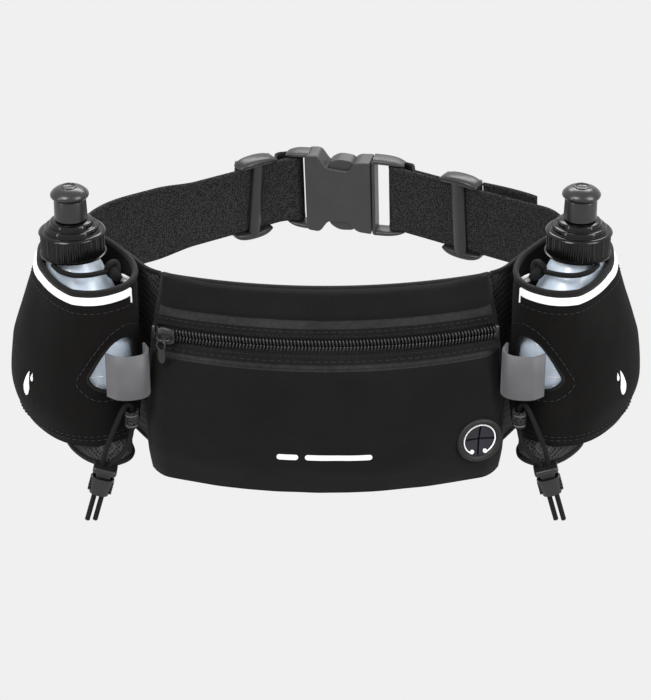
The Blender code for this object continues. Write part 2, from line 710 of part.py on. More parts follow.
def sleeve_at(side, angle, height, inset=0.0):
    """A place on the sleeve at one height above the bottle's base."""
    c, s = math.cos(angle), math.sin(angle)
    share = sleeve_share(way_round(side, angle), height)
    power = 2 / 2.3
    width = SLEEVE_HALF_WIDTH * share - inset
    depth = SLEEVE_HALF_DEPTH * share - inset
    return bottle_place(side) @ Vector((width * math.copysign(abs(c) ** power, c),
                                        depth * math.copysign(abs(s) ** power, s), height))


def window_outline(side, inset):
    """The sleeve's window as a smooth closed line at one depth in its wall."""
    points = [Vector((degrees, height * 1000, 0)) for degrees, height in WINDOW]
    line = smooth_line(points[-1:] + points + points[:2], 6.0)
    gaps = [(p - points[0]).length for p in line]
    start = gaps.index(min(gaps))
    line = line[start:]
    gaps = [(p - points[0]).length for p in line[4:]]
    line = line[:4 + gaps.index(min(gaps))]
    return [sleeve_at(side, way_round(side, math.radians(p.x)), p.y / 1000, inset) for p in line]


def make_sleeve(side):
    """Fabric sleeve, its elastic cuff and mouth binding, and the reflective strip."""
    name = SIDES[side]
    angles = [2 * math.pi * k / 36 for k in range(36)]

    def tube(low, high, shares):
        """Rings of a stretch of the wall; low and high give its ends at each angle."""
        rings = []
        for inset, order in ((0.0, shares), (SLEEVE_WALL, shares[::-1])):
            for t in order:
                ring = []
                for a in angles:
                    turn = way_round(side, a)
                    ring.append(sleeve_at(side, a, low(turn) + (high(turn) - low(turn)) * t, inset))
                rings.append(ring)
        return rings

    def hem(turn):
        return sleeve_ends(turn)[0]

    def mouth(turn):
        return sleeve_ends(turn)[1]

    def body_top(turn):
        return CUFF_START - CUFF_DIP * max(0.0, math.cos(turn - OUTER_WAY)) ** 0.7

    def cuff_low(turn):
        return body_top(turn) + GAP

    body = loft("bottle_sleeve_" + name,
                tube(hem, body_top, [0.0, 0.08, 0.16, 0.25, 0.36, 0.7, 1.0]),
                "neoprene", closed=True)
    window = loft("window_" + name, [window_outline(side, -0.004), window_outline(side, 0.004)],
                  "neoprene")
    boolean(body, cutter(window))
    loft("sleeve_cuff_" + name, tube(cuff_low, mouth, [0.0, 0.3, 0.6, 0.8, 1.0]),
         "neoprene", closed=True)
    edge = []
    for inset, up in ((-0.0007, 0.0004), (-0.0007, 0.0030), (SLEEVE_WALL, 0.0030),
                      (SLEEVE_WALL, 0.0004)):
        edge.append([sleeve_at(side, a, mouth(way_round(side, a)) + up, inset) for a in angles])
    loft("sleeve_binding_" + name, edge, "binding", closed=True)
    strip = []
    for degrees in range(-176, 22, 12):
        a = way_round(side, math.radians(degrees))
        top = mouth(math.radians(degrees))
        strip.append([sleeve_at(side, a, top - down, inset) for inset, down in
                      ((-GAP, 0.0008), (-GAP, 0.0060), (-GAP - 0.0005, 0.0060),
                       (-GAP - 0.0005, 0.0008))])
    loft("reflective_strip_" + name, strip, "reflective")


def make_bottle_rest(side):
    """Low fabric sling under the bottle, joined to the wing."""
    place = (bottle_place(side) @ Matrix.Translation((-side * REST_SHIFT, 0, 0)))
    half_width, half_depth = REST_HALF
    rings = []
    for inset, height in ((0.0, REST_TOP), (0.0, REST_LOW), (REST_WALL, REST_LOW),
                          (REST_WALL, REST_TOP)):
        rings.append([place @ p for p in oval(half_width - inset, half_depth - inset, height, 30)])
    loft("bottle_rest_" + SIDES[side], rings, "mesh_cloth", closed=True)


def mirrored(points, side):
    return [Vector((side * x, y, z)) for x, y, z in points]


def make_retainer(side):
    """Elastic that crosses the bottle's shoulder under the cap, and its pull tab."""
    line = smooth_line(mirrored(RETAINER_ROUTE, side), 0.0035)
    loft("retention_cord_" + SIDES[side], tube_rings(line, 0.0012, 8), "cord")
    tab = smooth_line(mirrored(RETAINER_TAB_ROUTE, side), 0.002)
    loft("retention_tab_" + SIDES[side], tube_rings(tab, 0.0011, 8), "grey_tape")


# ---------------------------------------------------------------- loops and race number cords

def upright_strip(name, route, thickness, low, high, kind, step=0.0015):
    """A strip standing on edge along a plan route."""
    line = smooth_line(route, step)
    rings = []
    for i, point in enumerate(line):
        along = (line[min(i + 1, len(line) - 1)] - line[max(i - 1, 0)]).normalized()
        shift = Vector((-along.y, along.x, 0)) * thickness / 2
        rings.append([point + shift + Vector((0, 0, low)), point - shift + Vector((0, 0, low)),
                      point - shift + Vector((0, 0, high)), point + shift + Vector((0, 0, high))])
    loft(name, rings, kind)


def toggle_place(side):
    """Frame of a cord lock: z up the two cords, origin in the middle of the body's top."""
    x, y, z = TOGGLE_TOP
    return Matrix.Translation((side * x, y, z)) @ Matrix.Rotation(-side * TOGGLE_SWING, 4, "Y")


def make_bib_cord(side):
    """One doubled elastic cord through a tab, with a spring cord lock on its two tails."""
    name = SIDES[side]
    upright_strip("bib_tab_" + name, mirrored(BIB_TAB_ROUTE, side), 0.0011, *BIB_TAB_Z, "webbing")
    line = smooth_line(mirrored(BIB_ROUTE, side), 0.0048)
    loft("bib_cord_" + name, tube_rings(line, CORD_RADIUS, 8), "cord")
    place = toggle_place(side)
    wide, deep, high = TOGGLE_SIZE
    body = block("toggle_body_" + name, (-wide / 2, -deep / 2, -high), (wide / 2, deep / 2, 0),
                 "buckle_plastic", place, 0.0012)
    well = block("toggle_well_" + name, (-wide / 2 + 0.0009, -deep / 2 + 0.0007, -high + 0.0022),
                 (wide / 2 - 0.0009, deep / 2 - 0.0007, 0.002), "buckle_plastic", place)
    hole = block("toggle_hole_" + name, (-0.0034, -0.0017, -high - 0.002),
                 (0.0034, 0.0017, BUTTON_TOP + 0.002), "buckle_plastic", place)
    button = block("toggle_button_" + name, (-wide / 2 + 0.0013, -deep / 2 + 0.0011, -0.0012),
                   (wide / 2 - 0.0013, deep / 2 - 0.0011, BUTTON_TOP), "buckle_plastic", place,
                   0.0007)
    boolean(body, cutter(well))
    boolean(body, cutter(hole))
    boolean(button, cutter(hole))
    coil = []
    low, top = -high + 0.0022 + 0.0004, -0.0012 - 0.0004
    for k in range(37):
        angle = 2 * math.pi * k / 12
        coil.append(place @ Vector((0.0038 * math.cos(angle), 0.0030 * math.sin(angle),
                                    low + (top - low) * k / 36)))
    loft("toggle_spring_" + name, tube_rings(coil, 0.00022, 6), "steel")


def make_gel_loop(side):
    upright_strip("gel_loop_" + SIDES[side], mirrored(GEL_LOOP_ROUTE, side), 0.0012,
                  *GEL_LOOP_Z, "grey_tape")


# ---------------------------------------------------------------- webbing

def webbing_half(side, s):
    """Half the width of the webbing, which narrows where it enters the adjuster."""
    place = adjuster_s(side)
    return WEBBING_WIDTH / 2 - WEBBING_PINCH * blend(place - 0.060, place - 0.036, s)


def make_webbing(side):
    """Webbing from the wing, round the buckle bar and back to the adjuster."""
    fold = MARKS[side]["end"] - fold_distance(side)
    start = WING_END + 0.0015
    layer = WEBBING_THICKNESS
    middle = layer / 2
    rise = BAR_THICKNESS / 2 + GAP + middle + 0.0006
    back = rise * 2 + middle
    route = [(s, middle) for s in spread(start, fold, 44)]
    for k in range(1, 8):
        angle = math.pi * k / 8
        route.append((fold + rise * math.sin(angle), middle + rise * (1 - math.cos(angle))))
    end = adjuster_s(side) - 0.010
    near = middle + layer + GAP
    for s in spread(fold, fold - 0.012, 9) + spread(fold - 0.014, end, 8):
        lift = blend(fold - 0.0110, fold - 0.0058, s)
        route.append((s, near + (back - near) * lift))
    band("webbing_" + SIDES[side], side, route, layer, lambda s: -webbing_half(side, s),
         lambda s: webbing_half(side, s), "webbing")


def fold_distance(side):
    """Distance along the belt from the buckle's middle to the fold round its bar."""
    end = -SOCKET_END_X if side < 0 else PLUG_END_X
    return end - BAR_WIDTH - 0.0008


def adjuster_s(side):
    """Distance along the belt at which the adjuster sits."""
    target = ADJUSTER_X[side]
    for low, high in zip(BELT[side], BELT[side][1:]):
        behind = low[1].y > 0 and high[1].y > 0
        if behind and (low[1].x - target) * (high[1].x - target) <= 0:
            return low[0] + (high[0] - low[0]) * (target - low[1].x) / (high[1].x - low[1].x)


def make_adjuster(side):
    """Ladder-lock frame: a middle bar over the webbing and end bars behind it."""
    s = adjuster_s(side)
    origin = belt(side, s)
    up = (belt(side, s, 0, 0.01) - origin).normalized()
    away = (belt(side, s, 0.01) - origin).normalized()
    along = away.cross(up)
    frame = Matrix((along, away, up)).transposed().to_4x4()
    frame.translation = origin
    half = ADJUSTER_LENGTH / 2
    tall = ADJUSTER_HEIGHT / 2
    inner = WEBBING_WIDTH / 2 - WEBBING_PINCH + 0.0006
    thick = ADJUSTER_THICKNESS
    stack = 2 * WEBBING_THICKNESS + GAP
    name = "strap_adjuster_" + SIDES[side]
    back = stack + GAP
    item = block(name, (-half, -thick - GAP, -tall), (half, back + thick, tall),
                 "buckle_plastic", frame, 0.0011)
    over = 0.002
    front, rear = inner - 0.0015, inner - 0.0022
    cuts = [((-half - over, -GAP, -inner), (half + over, back, inner)),
            ((-half - over, -thick - over, -front), (-ADJUSTER_BAR / 2, back / 2, front)),
            ((ADJUSTER_BAR / 2, -thick - over, -front), (half + over, back / 2, front)),
            ((-half + ADJUSTER_END_BAR, back / 2, -rear),
             (half - ADJUSTER_END_BAR, back + thick + over, rear))]
    for i, (low, high) in enumerate(cuts):
        boolean(item, cutter(block(f"{name}_cut_{i}", low, high, "buckle_plastic", frame)))


def make_tail():
    """Loose end of the webbing behind the right adjuster."""
    s = adjuster_s(1)
    layer = WEBBING_THICKNESS
    near = layer * 2.5 + GAP * 2
    route = [(s - ADJUSTER_LENGTH / 2 - 0.002 - d, near + 0.0012 * math.sin(d / TAIL_LENGTH * 2.5))
             for d in spread(0, TAIL_LENGTH, 10)]
    half = WEBBING_WIDTH / 2
    band("webbing_tail", 1, route, layer, -half, half, "webbing")


# ---------------------------------------------------------------- buckle

def make_socket():
    place = buckle_place()
    low, high = HOUSING_X
    tall = BUCKLE_HEIGHT / 2
    thick = BUCKLE_THICKNESS / 2
    item = block("buckle_socket", (low, -thick, -tall), (high, thick, tall),
                 "buckle_plastic", place, 0.0018)
    inner = tall - RAIL_HEIGHT + 0.0002
    outer = tall - 0.0006
    deep = thick - 0.002
    bar = BAR_THICKNESS / 2
    root = low + 0.001
    rails = [((SOCKET_END_X, -deep, inner), (root, deep, outer)),
             ((SOCKET_END_X, -deep, -outer), (root, deep, -inner)),
             ((SOCKET_END_X + 0.0006, -bar, -inner - 0.001),
              (SOCKET_END_X + BAR_WIDTH, bar, inner + 0.001))]
    for i, (start, end) in enumerate(rails):
        boolean(item, cutter(block(f"socket_rail_{i}", start, end, "buckle_plastic", place)),
                "UNION")
    room, past = tall - 0.0035, 0.001
    window = tall - 0.0085
    cuts = [((low + 0.002, -thick + 0.0022, -room), (high + 0.002, thick - 0.0022, room)),
            ((LATCH_X[0], -thick - past, window), (LATCH_X[1], thick + past, tall + past)),
            ((LATCH_X[0], -thick - past, -tall - past), (LATCH_X[1], thick + past, -window))]
    for i, (start, end) in enumerate(cuts):
        boolean(item, cutter(block(f"socket_cut_{i}", start, end, "buckle_plastic", place)))


def make_plug():
    place = buckle_place()
    tall = BUCKLE_HEIGHT / 2 - 0.0006
    thick = BUCKLE_THICKNESS / 2
    inner = tall - RAIL_HEIGHT
    bar = BAR_THICKNESS / 2
    item = block("buckle_plug", (PLUG_BASE_X, -thick + 0.0006, -tall),
                 (PLUG_BASE_X + 0.0035, thick - 0.0006, tall), "buckle_plastic", place, 0.0010)
    outer = tall - 0.0006
    deep = thick - 0.002
    root = PLUG_BASE_X + 0.001
    adds = [((root, -deep, inner), (PLUG_END_X, deep, outer)),
            ((root, -deep, -outer), (PLUG_END_X, deep, -inner)),
            ((PLUG_END_X - BAR_WIDTH, -bar, -inner - 0.001),
             (PLUG_END_X - 0.0006, bar, inner + 0.001)),
            ((-0.0120, -0.0018, -0.0040), (root, 0.0018, 0.0040))]
    for i, (start, end) in enumerate(adds):
        boolean(item, cutter(block(f"plug_part_{i}", start, end, "buckle_plastic", place)),
                "UNION")
    for name, way in (("upper", 1), ("lower", -1)):
        outline = [(PLUG_BASE_X - GAP, 0.0115), (PLUG_BASE_X - GAP, 0.0155),
                   (LATCH_X[1] + 0.002, 0.0163), (LATCH_X[1] - 0.0008, 0.0170),
                   (LATCH_X[1] - 0.0014, 0.0200),
                   (LATCH_X[0] + 0.0030, 0.0204), (LATCH_X[0] + 0.0010, 0.0185),
                   (LATCH_X[0] + 0.0010, 0.0145), (LATCH_X[1] + 0.002, 0.0130)]
        rings = [[place @ Vector((x, y, way * z)) for x, z in outline]
                 for y in (-thick + 0.0030, thick - 0.0030)]
        loft("latch_" + name, rings, "buckle_plastic")


def make_all():
    remove_scene_objects()
    make_back_panel()
    make_pouch()
    make_zip()
    make_port()
    for side in SIDES:
        make_wing(side)
        make_bottle(side)
        make_sleeve(side)
        make_bottle_rest(side)
        make_retainer(side)
        make_gel_loop(side)
        make_bib_cord(side)
        make_webbing(side)
        make_adjuster(side)
    make_tail()
    make_socket()
    make_plug()


make_all()
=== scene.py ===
"""Looks of a running waist pack with two bottles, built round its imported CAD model."""
import math

import bpy
import bmesh
from mathutils import Matrix, Vector, noise


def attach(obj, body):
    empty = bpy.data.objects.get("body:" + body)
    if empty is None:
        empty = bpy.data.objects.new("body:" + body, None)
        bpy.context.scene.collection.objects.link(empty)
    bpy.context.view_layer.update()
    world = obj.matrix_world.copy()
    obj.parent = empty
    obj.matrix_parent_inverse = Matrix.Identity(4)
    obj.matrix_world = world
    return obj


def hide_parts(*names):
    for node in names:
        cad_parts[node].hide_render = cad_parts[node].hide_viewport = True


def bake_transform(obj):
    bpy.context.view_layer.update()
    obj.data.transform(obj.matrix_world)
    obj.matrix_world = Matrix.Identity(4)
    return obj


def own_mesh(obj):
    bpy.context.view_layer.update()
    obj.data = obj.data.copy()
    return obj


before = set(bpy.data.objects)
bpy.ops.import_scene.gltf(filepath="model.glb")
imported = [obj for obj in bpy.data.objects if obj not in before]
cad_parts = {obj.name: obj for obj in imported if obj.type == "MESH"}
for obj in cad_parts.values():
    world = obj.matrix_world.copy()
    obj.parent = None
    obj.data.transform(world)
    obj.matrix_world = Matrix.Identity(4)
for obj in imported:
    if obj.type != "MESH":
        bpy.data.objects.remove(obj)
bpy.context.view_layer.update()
SIDES = {-1: "left", 1: "right"}

# ---------------------------------------------------------------- sizes, in metres
GAP = 0.0004                     # clearance between pieces that touch

# Belt line in plan: an arc over the stomach, a hip corner and a strap to the buckle
FRONT_RADIUS = 0.190
FRONT_Y = -0.098
ARC_HALF_WIDTH = 0.0695
HIP_CORNER = (0.077, -0.0819)
HIP_RADIUS = 0.021
HIP_SLOPE = math.radians(59)
BACK_RADIUS = 0.045
STRAP_SLOPE = {-1: 0.70, 1: 0.72}
STRAP_Y = {-1: 0.1029, 1: 0.1022}
STRAP_LEAN = math.radians(7)
BAR_RADIUS = 0.009
PATH_STEP = 0.002

# Webbing, buckle and adjusters
WEBBING_WIDTH = 0.042
WEBBING_THICKNESS = 0.0016
WEBBING_PINCH = 0.0022           # taken off each edge where the webbing enters the hardware
TAIL_LENGTH = 0.030
BUCKLE_CENTRE = (0.0085, 0.0858, 0.0004)
BUCKLE_TURN = math.radians(-14)
SOCKET_END_X = -0.0290
PLUG_END_X = 0.0338
BAR_WIDTH = 0.0036
BAR_THICKNESS = 0.0034
ADJUSTER_X = {-1: -0.0362, 1: 0.0685}
ADJUSTER_LENGTH = 0.0225

# Pads and pouch
PANEL_THICKNESS = 0.0040
WING_THICKNESS = 0.0026
WING_START = 0.0745              # distances along the belt
WING_END = 0.160
PACK_TOP_Z = 0.035
PACK_BOTTOM_Z = -0.056
POUCH_HALF = 0.0830
POUCH_BACK = 0.0044
ZIP_Z = 0.0145
ZIP_HALF_ANGLE = math.radians(21.6)
ZIP_START_ANGLE = -ZIP_HALF_ANGLE + 0.042
ZIP_REACH = ZIP_HALF_ANGLE - 0.012
COIL_RADIUS = 0.0016
COIL_PITCH = 0.00150
PORT_ANGLE = math.radians(18.2)
PORT_Z = -0.0330
PORT_RADIUS = 0.0104

# Bottles, with heights above the base along the bottle's own axis
BOTTLE_AXIS = (0.1115, -0.0780)
BOTTLE_TURN = math.radians(55)
BOTTLE_LEAN = math.radians(0.3)
BOTTLE_BASE_Z = -0.0340
BOTTLE_HALF_WIDTH = 0.0320
BOTTLE_HALF_DEPTH = 0.0210
BOTTLE_WALL = 0.0013
BODY_TOP = 0.038
SHOULDER_TOP = 0.0735
NECK_RADIUS = 0.0105
NECK_TOP = 0.0825
CAP_RADIUS = 0.0148
CAP_BASE = 0.0750
CAP_SKIRT_TOP = 0.0865
CAP_TOP = 0.0900
CAP_BORE = 0.0044
STEM_RADIUS = 0.0073
HEAD_RADIUS = 0.0085
SPOUT_TOP = 0.1070

# Sleeves, with the same heights and with angles counted from the pouch side
SLEEVE_HALF_WIDTH = 0.0350
SLEEVE_HALF_DEPTH = 0.0230
SLEEVE_WALL = 0.0014
SLEEVE_HEM = -0.0065
HEM_DIP = 0.0020
SLEEVE_MOUTH = 0.0700
MOUTH_RISE = 0.0015
DRAW_START = 0.030               # the outer side is drawn in from here up
DRAW_LENGTH = 0.0445
MOUTH_DRAW = 0.46
BULGE = 0.19                     # and bulges lower down
BULGE_HEIGHT = 0.009
BULGE_REACH = 0.028
OUTER_WAY = math.radians(228)
FRONT_WAY = math.radians(300)
WINDOW = [(-31, 0.0275), (-22, 0.0232), (-10, 0.0218), (6, 0.0228), (20, 0.0270),
          (27, 0.0345), (22, 0.0425), (8, 0.0462), (-4, 0.0445), (-16, 0.0390), (-26, 0.0325)]
DROP_WAY = math.radians(267)
REST_SHIFT = 0.014               # the sling under the bottle sits this much further in
REST_HALF = (0.0195, 0.0120)
REST_TOP = -0.0089
REST_LOW = -0.0172
REST_WALL = 0.0015

# Cords, their lock, and the loops, as routes on the right side
CORD_RADIUS = 0.00115
BIB_ROUTE = [(0.1078, -0.1152, -0.0747), (0.1038, -0.1152, -0.0610), (0.1011, -0.1152, -0.0515),
             (0.0994, -0.1152, -0.0455), (0.0978, -0.1150, -0.0390), (0.0947, -0.1142, -0.0310),
             (0.0914, -0.1125, -0.0235), (0.0886, -0.1104, -0.0188), (0.0863, -0.1092, -0.0196),
             (0.0861, -0.1090, -0.0250), (0.0863, -0.1096, -0.0310), (0.0878, -0.1118, -0.0370),
             (0.0905, -0.1138, -0.0410), (0.0935, -0.1150, -0.0435), (0.0957, -0.1152, -0.0458),
             (0.0967, -0.1152, -0.0488), (0.0979, -0.1152, -0.0525), (0.1005, -0.1152, -0.0617),
             (0.1043, -0.1152, -0.0747)]
BIB_TAB_ROUTE = [(0.0838, -0.1068, 0.0), (0.0836, -0.1108, 0.0), (0.0862, -0.1125, 0.0),
                 (0.0886, -0.1108, 0.0), (0.0888, -0.1072, 0.0)]
BIB_TAB_Z = (-0.0295, -0.0215)
TOGGLE_TOP = (0.0995, -0.1152, -0.0520)
TOGGLE_SWING = math.radians(16)
GEL_LOOP_ROUTE = [(0.0800, -0.1020, 0.0), (0.0779, -0.1080, 0.0), (0.0790, -0.1130, 0.0),
                  (0.0840, -0.1158, 0.0), (0.0905, -0.1160, 0.0), (0.0958, -0.1125, 0.0)]
GEL_LOOP_Z = (-0.0130, 0.0085)
RETAINER_ROUTE = [(0.1196, -0.0880, 0.0395), (0.1158, -0.0938, 0.0392), (0.1100, -0.0975, 0.0390),
                  (0.1035, -0.0965, 0.0385), (0.0975, -0.0908, 0.0372), (0.0944, -0.0852, 0.0355)]


# ---------------------------------------------------------------- materials
class Paint:
    """One node-based material, with helpers that keep each recipe short."""

    def __init__(self, name, colour, roughness, specular=0.5, **sockets):
        self.material = bpy.data.materials.new(name)
        self.material.use_nodes = True
        self.tree = self.material.node_tree
        self.shader = self.tree.nodes["Principled BSDF"]
        self.colour = colour
        self.shader.inputs["Base Color"].default_value = (*colour, 1)
        self.shader.inputs["Roughness"].default_value = roughness
        self.shader.inputs["Specular IOR Level"].default_value = specular
        for socket, value in sockets.items():
            self.shader.inputs[socket.replace("_", " ")].default_value = value
        self.place = self.tree.nodes.new("ShaderNodeTexCoord").outputs["Object"]
        self.normal = None

    def node(self, kind, **settings):
        item = self.tree.nodes.new("ShaderNode" + kind)
        for key, value in settings.items():
            if key in item.inputs:
                item.inputs[key].default_value = value
            else:
                setattr(item, key, value)
        return item

    def link(self, out, into):
        self.tree.links.new(out, into)

    def stretched(self, scale):
        mapping = self.node("Mapping")
        mapping.inputs["Scale"].default_value = scale
        self.link(self.place, mapping.inputs["Vector"])
        return mapping.outputs["Vector"]

    def noise(self, scale, detail=3.0, stretch=None):
        item = self.node("TexNoise", Scale=scale, Detail=detail)
        self.link(self.stretched(stretch) if stretch else self.place, item.inputs["Vector"])
        return item.outputs["Fac"]

    def cells(self, scale, stretch=(1, 1, 1), feature="F1", turn=0.0, randomness=1.0):
        item = self.node("TexVoronoi", Scale=scale, feature=feature, Randomness=randomness)
        mapping = self.node("Mapping")
        mapping.inputs["Scale"].default_value = stretch
        mapping.inputs["Rotation"].default_value = (turn, turn, 0)
        self.link(self.place, mapping.inputs["Vector"])
        self.link(mapping.outputs["Vector"], item.inputs["Vector"])
        return item.outputs["Distance"]

    def wave(self, scale, direction, distortion=0.0):
        item = self.node("TexWave", Scale=scale, Distortion=distortion, bands_direction=direction)
        item.inputs["Detail"].default_value = 1.0
        self.link(self.place, item.inputs["Vector"])
        return item.outputs["Fac"]

    def maths(self, operation, first, second):
        item = self.node("Math", operation=operation)
        for value, socket in zip((first, second), item.inputs):
            if isinstance(value, (int, float)):
                socket.default_value = value
            else:
                self.link(value, socket)
        return item.outputs["Value"]

    def tint(self, fac, dark, light, low=0.3, high=0.7):
        """Base colour between dark and light times the material's own colour."""
        ramp = self.node("ValToRGB")
        ramp.color_ramp.elements[0].position = low
        ramp.color_ramp.elements[1].position = high
        for element, gain in zip(ramp.color_ramp.elements, (dark, light)):
            element.color = (*[min(1.0, c * gain) for c in self.colour], 1)
        self.link(fac, ramp.inputs["Fac"])
        self.link(ramp.outputs["Color"], self.shader.inputs["Base Color"])

    def rough(self, fac, low, high):
        item = self.node("MapRange")
        item.inputs["To Min"].default_value = low
        item.inputs["To Max"].default_value = high
        self.link(fac, item.inputs["Value"])
        self.link(item.outputs["Result"], self.shader.inputs["Roughness"])

    def bump(self, height, strength, distance):
        item = self.node("Bump")
        item.inputs["Strength"].default_value = strength
        item.inputs["Distance"].default_value = distance
        self.link(height, item.inputs["Height"])
        if self.normal:
            self.link(self.normal, item.inputs["Normal"])
        self.normal = item.outputs["Normal"]
        self.link(self.normal, self.shader.inputs["Normal"])


def woven(name, colour, roughness, thread, depth, sheen=0.0, specular=0.07, spread_of_tint=0.25):
    """Plain weave: two crossed waves, a slight fuzz and a soft large-scale variation."""
    paint = Paint(name, colour, roughness, specular, Sheen_Weight=sheen, Sheen_Roughness=0.5)
    rows = paint.wave(thread, "Z", 0.6)
    columns = paint.wave(thread, "DIAGONAL", 0.6)
    weave = paint.maths("MULTIPLY", rows, columns)
    fuzz = paint.noise(thread * 0.9, 4)
    height = paint.maths("ADD", weave, paint.maths("MULTIPLY", fuzz, 0.8))
    soft = paint.noise(38, 3)
    mixed = paint.maths("ADD", paint.maths("MULTIPLY", soft, 0.6), paint.maths("MULTIPLY", fuzz, 0.4))
    paint.tint(mixed, 1 - spread_of_tint, 1 + spread_of_tint)
    paint.bump(height, 0.6, depth)
    return paint.material


def netting(name, colour):
    """Spacer mesh: pale threads round diamond holes, which are darkened as painted shade."""
    paint = Paint(name, colour, 0.8, 0.2)
    holes = paint.cells(760, (1, 1, 0.8), "DISTANCE_TO_EDGE", math.pi / 4, 0.12)
    # painted shade: the colour darkens towards the middle of each hole
    paint.tint(holes, 3.4, 0.30, 0.05, 0.22)
    paint.bump(paint.maths("MULTIPLY", holes, -1), 0.8, 0.0005)
    return paint.material


def elastic(name, colour):
    """Knitted elastic: fine rows of ribs across the band with a grainy knit, its pits darkened and its
    ridges lightened as painted shade and light.
    """
    paint = Paint(name, colour, 0.7, 0.05)
    knit = paint.cells(1000, (1, 1, 1.3), randomness=0.7)
    rows = paint.wave(620, "Z", 1.2)
    grain = paint.noise(900, 3)
    height = paint.maths("ADD", paint.maths("MULTIPLY", knit, 1.2), paint.maths("MULTIPLY", rows, 0.4))
    # painted shade and light: darker in the knit's pits, lighter on its ridges, mixed with random grain
    knit_shade_and_grain = paint.maths("MULTIPLY", knit, paint.maths("ADD", grain, 0.5))
    paint.tint(knit_shade_and_grain, 0.35, 13.0, 0.16, 0.66)
    paint.bump(height, 0.8, 0.0005)
    return paint.material


def moulded(name, colour, roughness, grain=0.00004, specular=0.5, coat=0.0):
    """Moulded plastic with a fine grain and faint flow and handling marks."""
    paint = Paint(name, colour, roughness, specular, Coat_Weight=coat, Coat_Roughness=0.12)
    marks = paint.noise(140, 5)
    paint.tint(marks, 0.88, 1.12)
    paint.rough(marks, roughness - 0.05, roughness + 0.08)
    paint.bump(paint.noise(2600, 3), 0.35, grain)
    return paint.material


def milky(name):
    """Translucent bottle plastic, slightly blue, with soft moulding ripples."""
    paint = Paint(name, (0.64, 0.73, 0.84), 0.24, 0.5, Subsurface_Weight=0.35,
                  Subsurface_Radius=(0.004, 0.005, 0.007), Transmission_Weight=0.12,
                  Coat_Weight=0.35, Coat_Roughness=0.1)
    cloud = paint.noise(45, 3, (1, 1, 0.6))
    paint.tint(cloud, 0.78, 1.18)
    paint.bump(paint.noise(70, 2), 0.25, 0.0012)
    return paint.material


def rubbery(name, colour):
    """Matt rubber with a soft grain."""
    paint = Paint(name, colour, 0.55, 0.4)
    paint.tint(paint.noise(220, 4), 0.85, 1.2)
    paint.bump(paint.noise(1500, 3), 0.4, 0.00006)
    return paint.material


def braided(name, colour):
    """Round elastic cord with a fine diagonal braid, darkened in its grooves and lightened on its
    strands as painted shade and light.
    """
    paint = Paint(name, colour, 0.6, 0.14)
    left = paint.wave(700, "DIAGONAL", 0.4)
    right = paint.wave(760, "Z", 0.4)
    braid = paint.maths("MULTIPLY", left, right)
    # painted shade and light: the colour follows the braid's relief, darker in the grooves
    paint.tint(braid, 0.7, 1.9)
    paint.bump(braid, 0.7, 0.0003)
    return paint.material


def satin(name, colour):
    """Smooth woven tape that shines along its bulge."""
    paint = Paint(name, colour, 0.42, 0.5, Anisotropic=0.3, Sheen_Weight=0.15)
    rows = paint.wave(900, "Z", 0.2)
    paint.tint(paint.noise(80, 3), 0.9, 1.1)
    paint.bump(paint.maths("ADD", rows, paint.noise(1300, 2)), 0.35, 0.0001)
    return paint.material


def steel(name):
    """Drawn steel wire."""
    paint = Paint(name, (0.6, 0.6, 0.6), 0.3, 0.5, Metallic=1.0)
    paint.bump(paint.noise(900, 2, (1, 1, 6)), 0.3, 0.00003)
    return paint.material


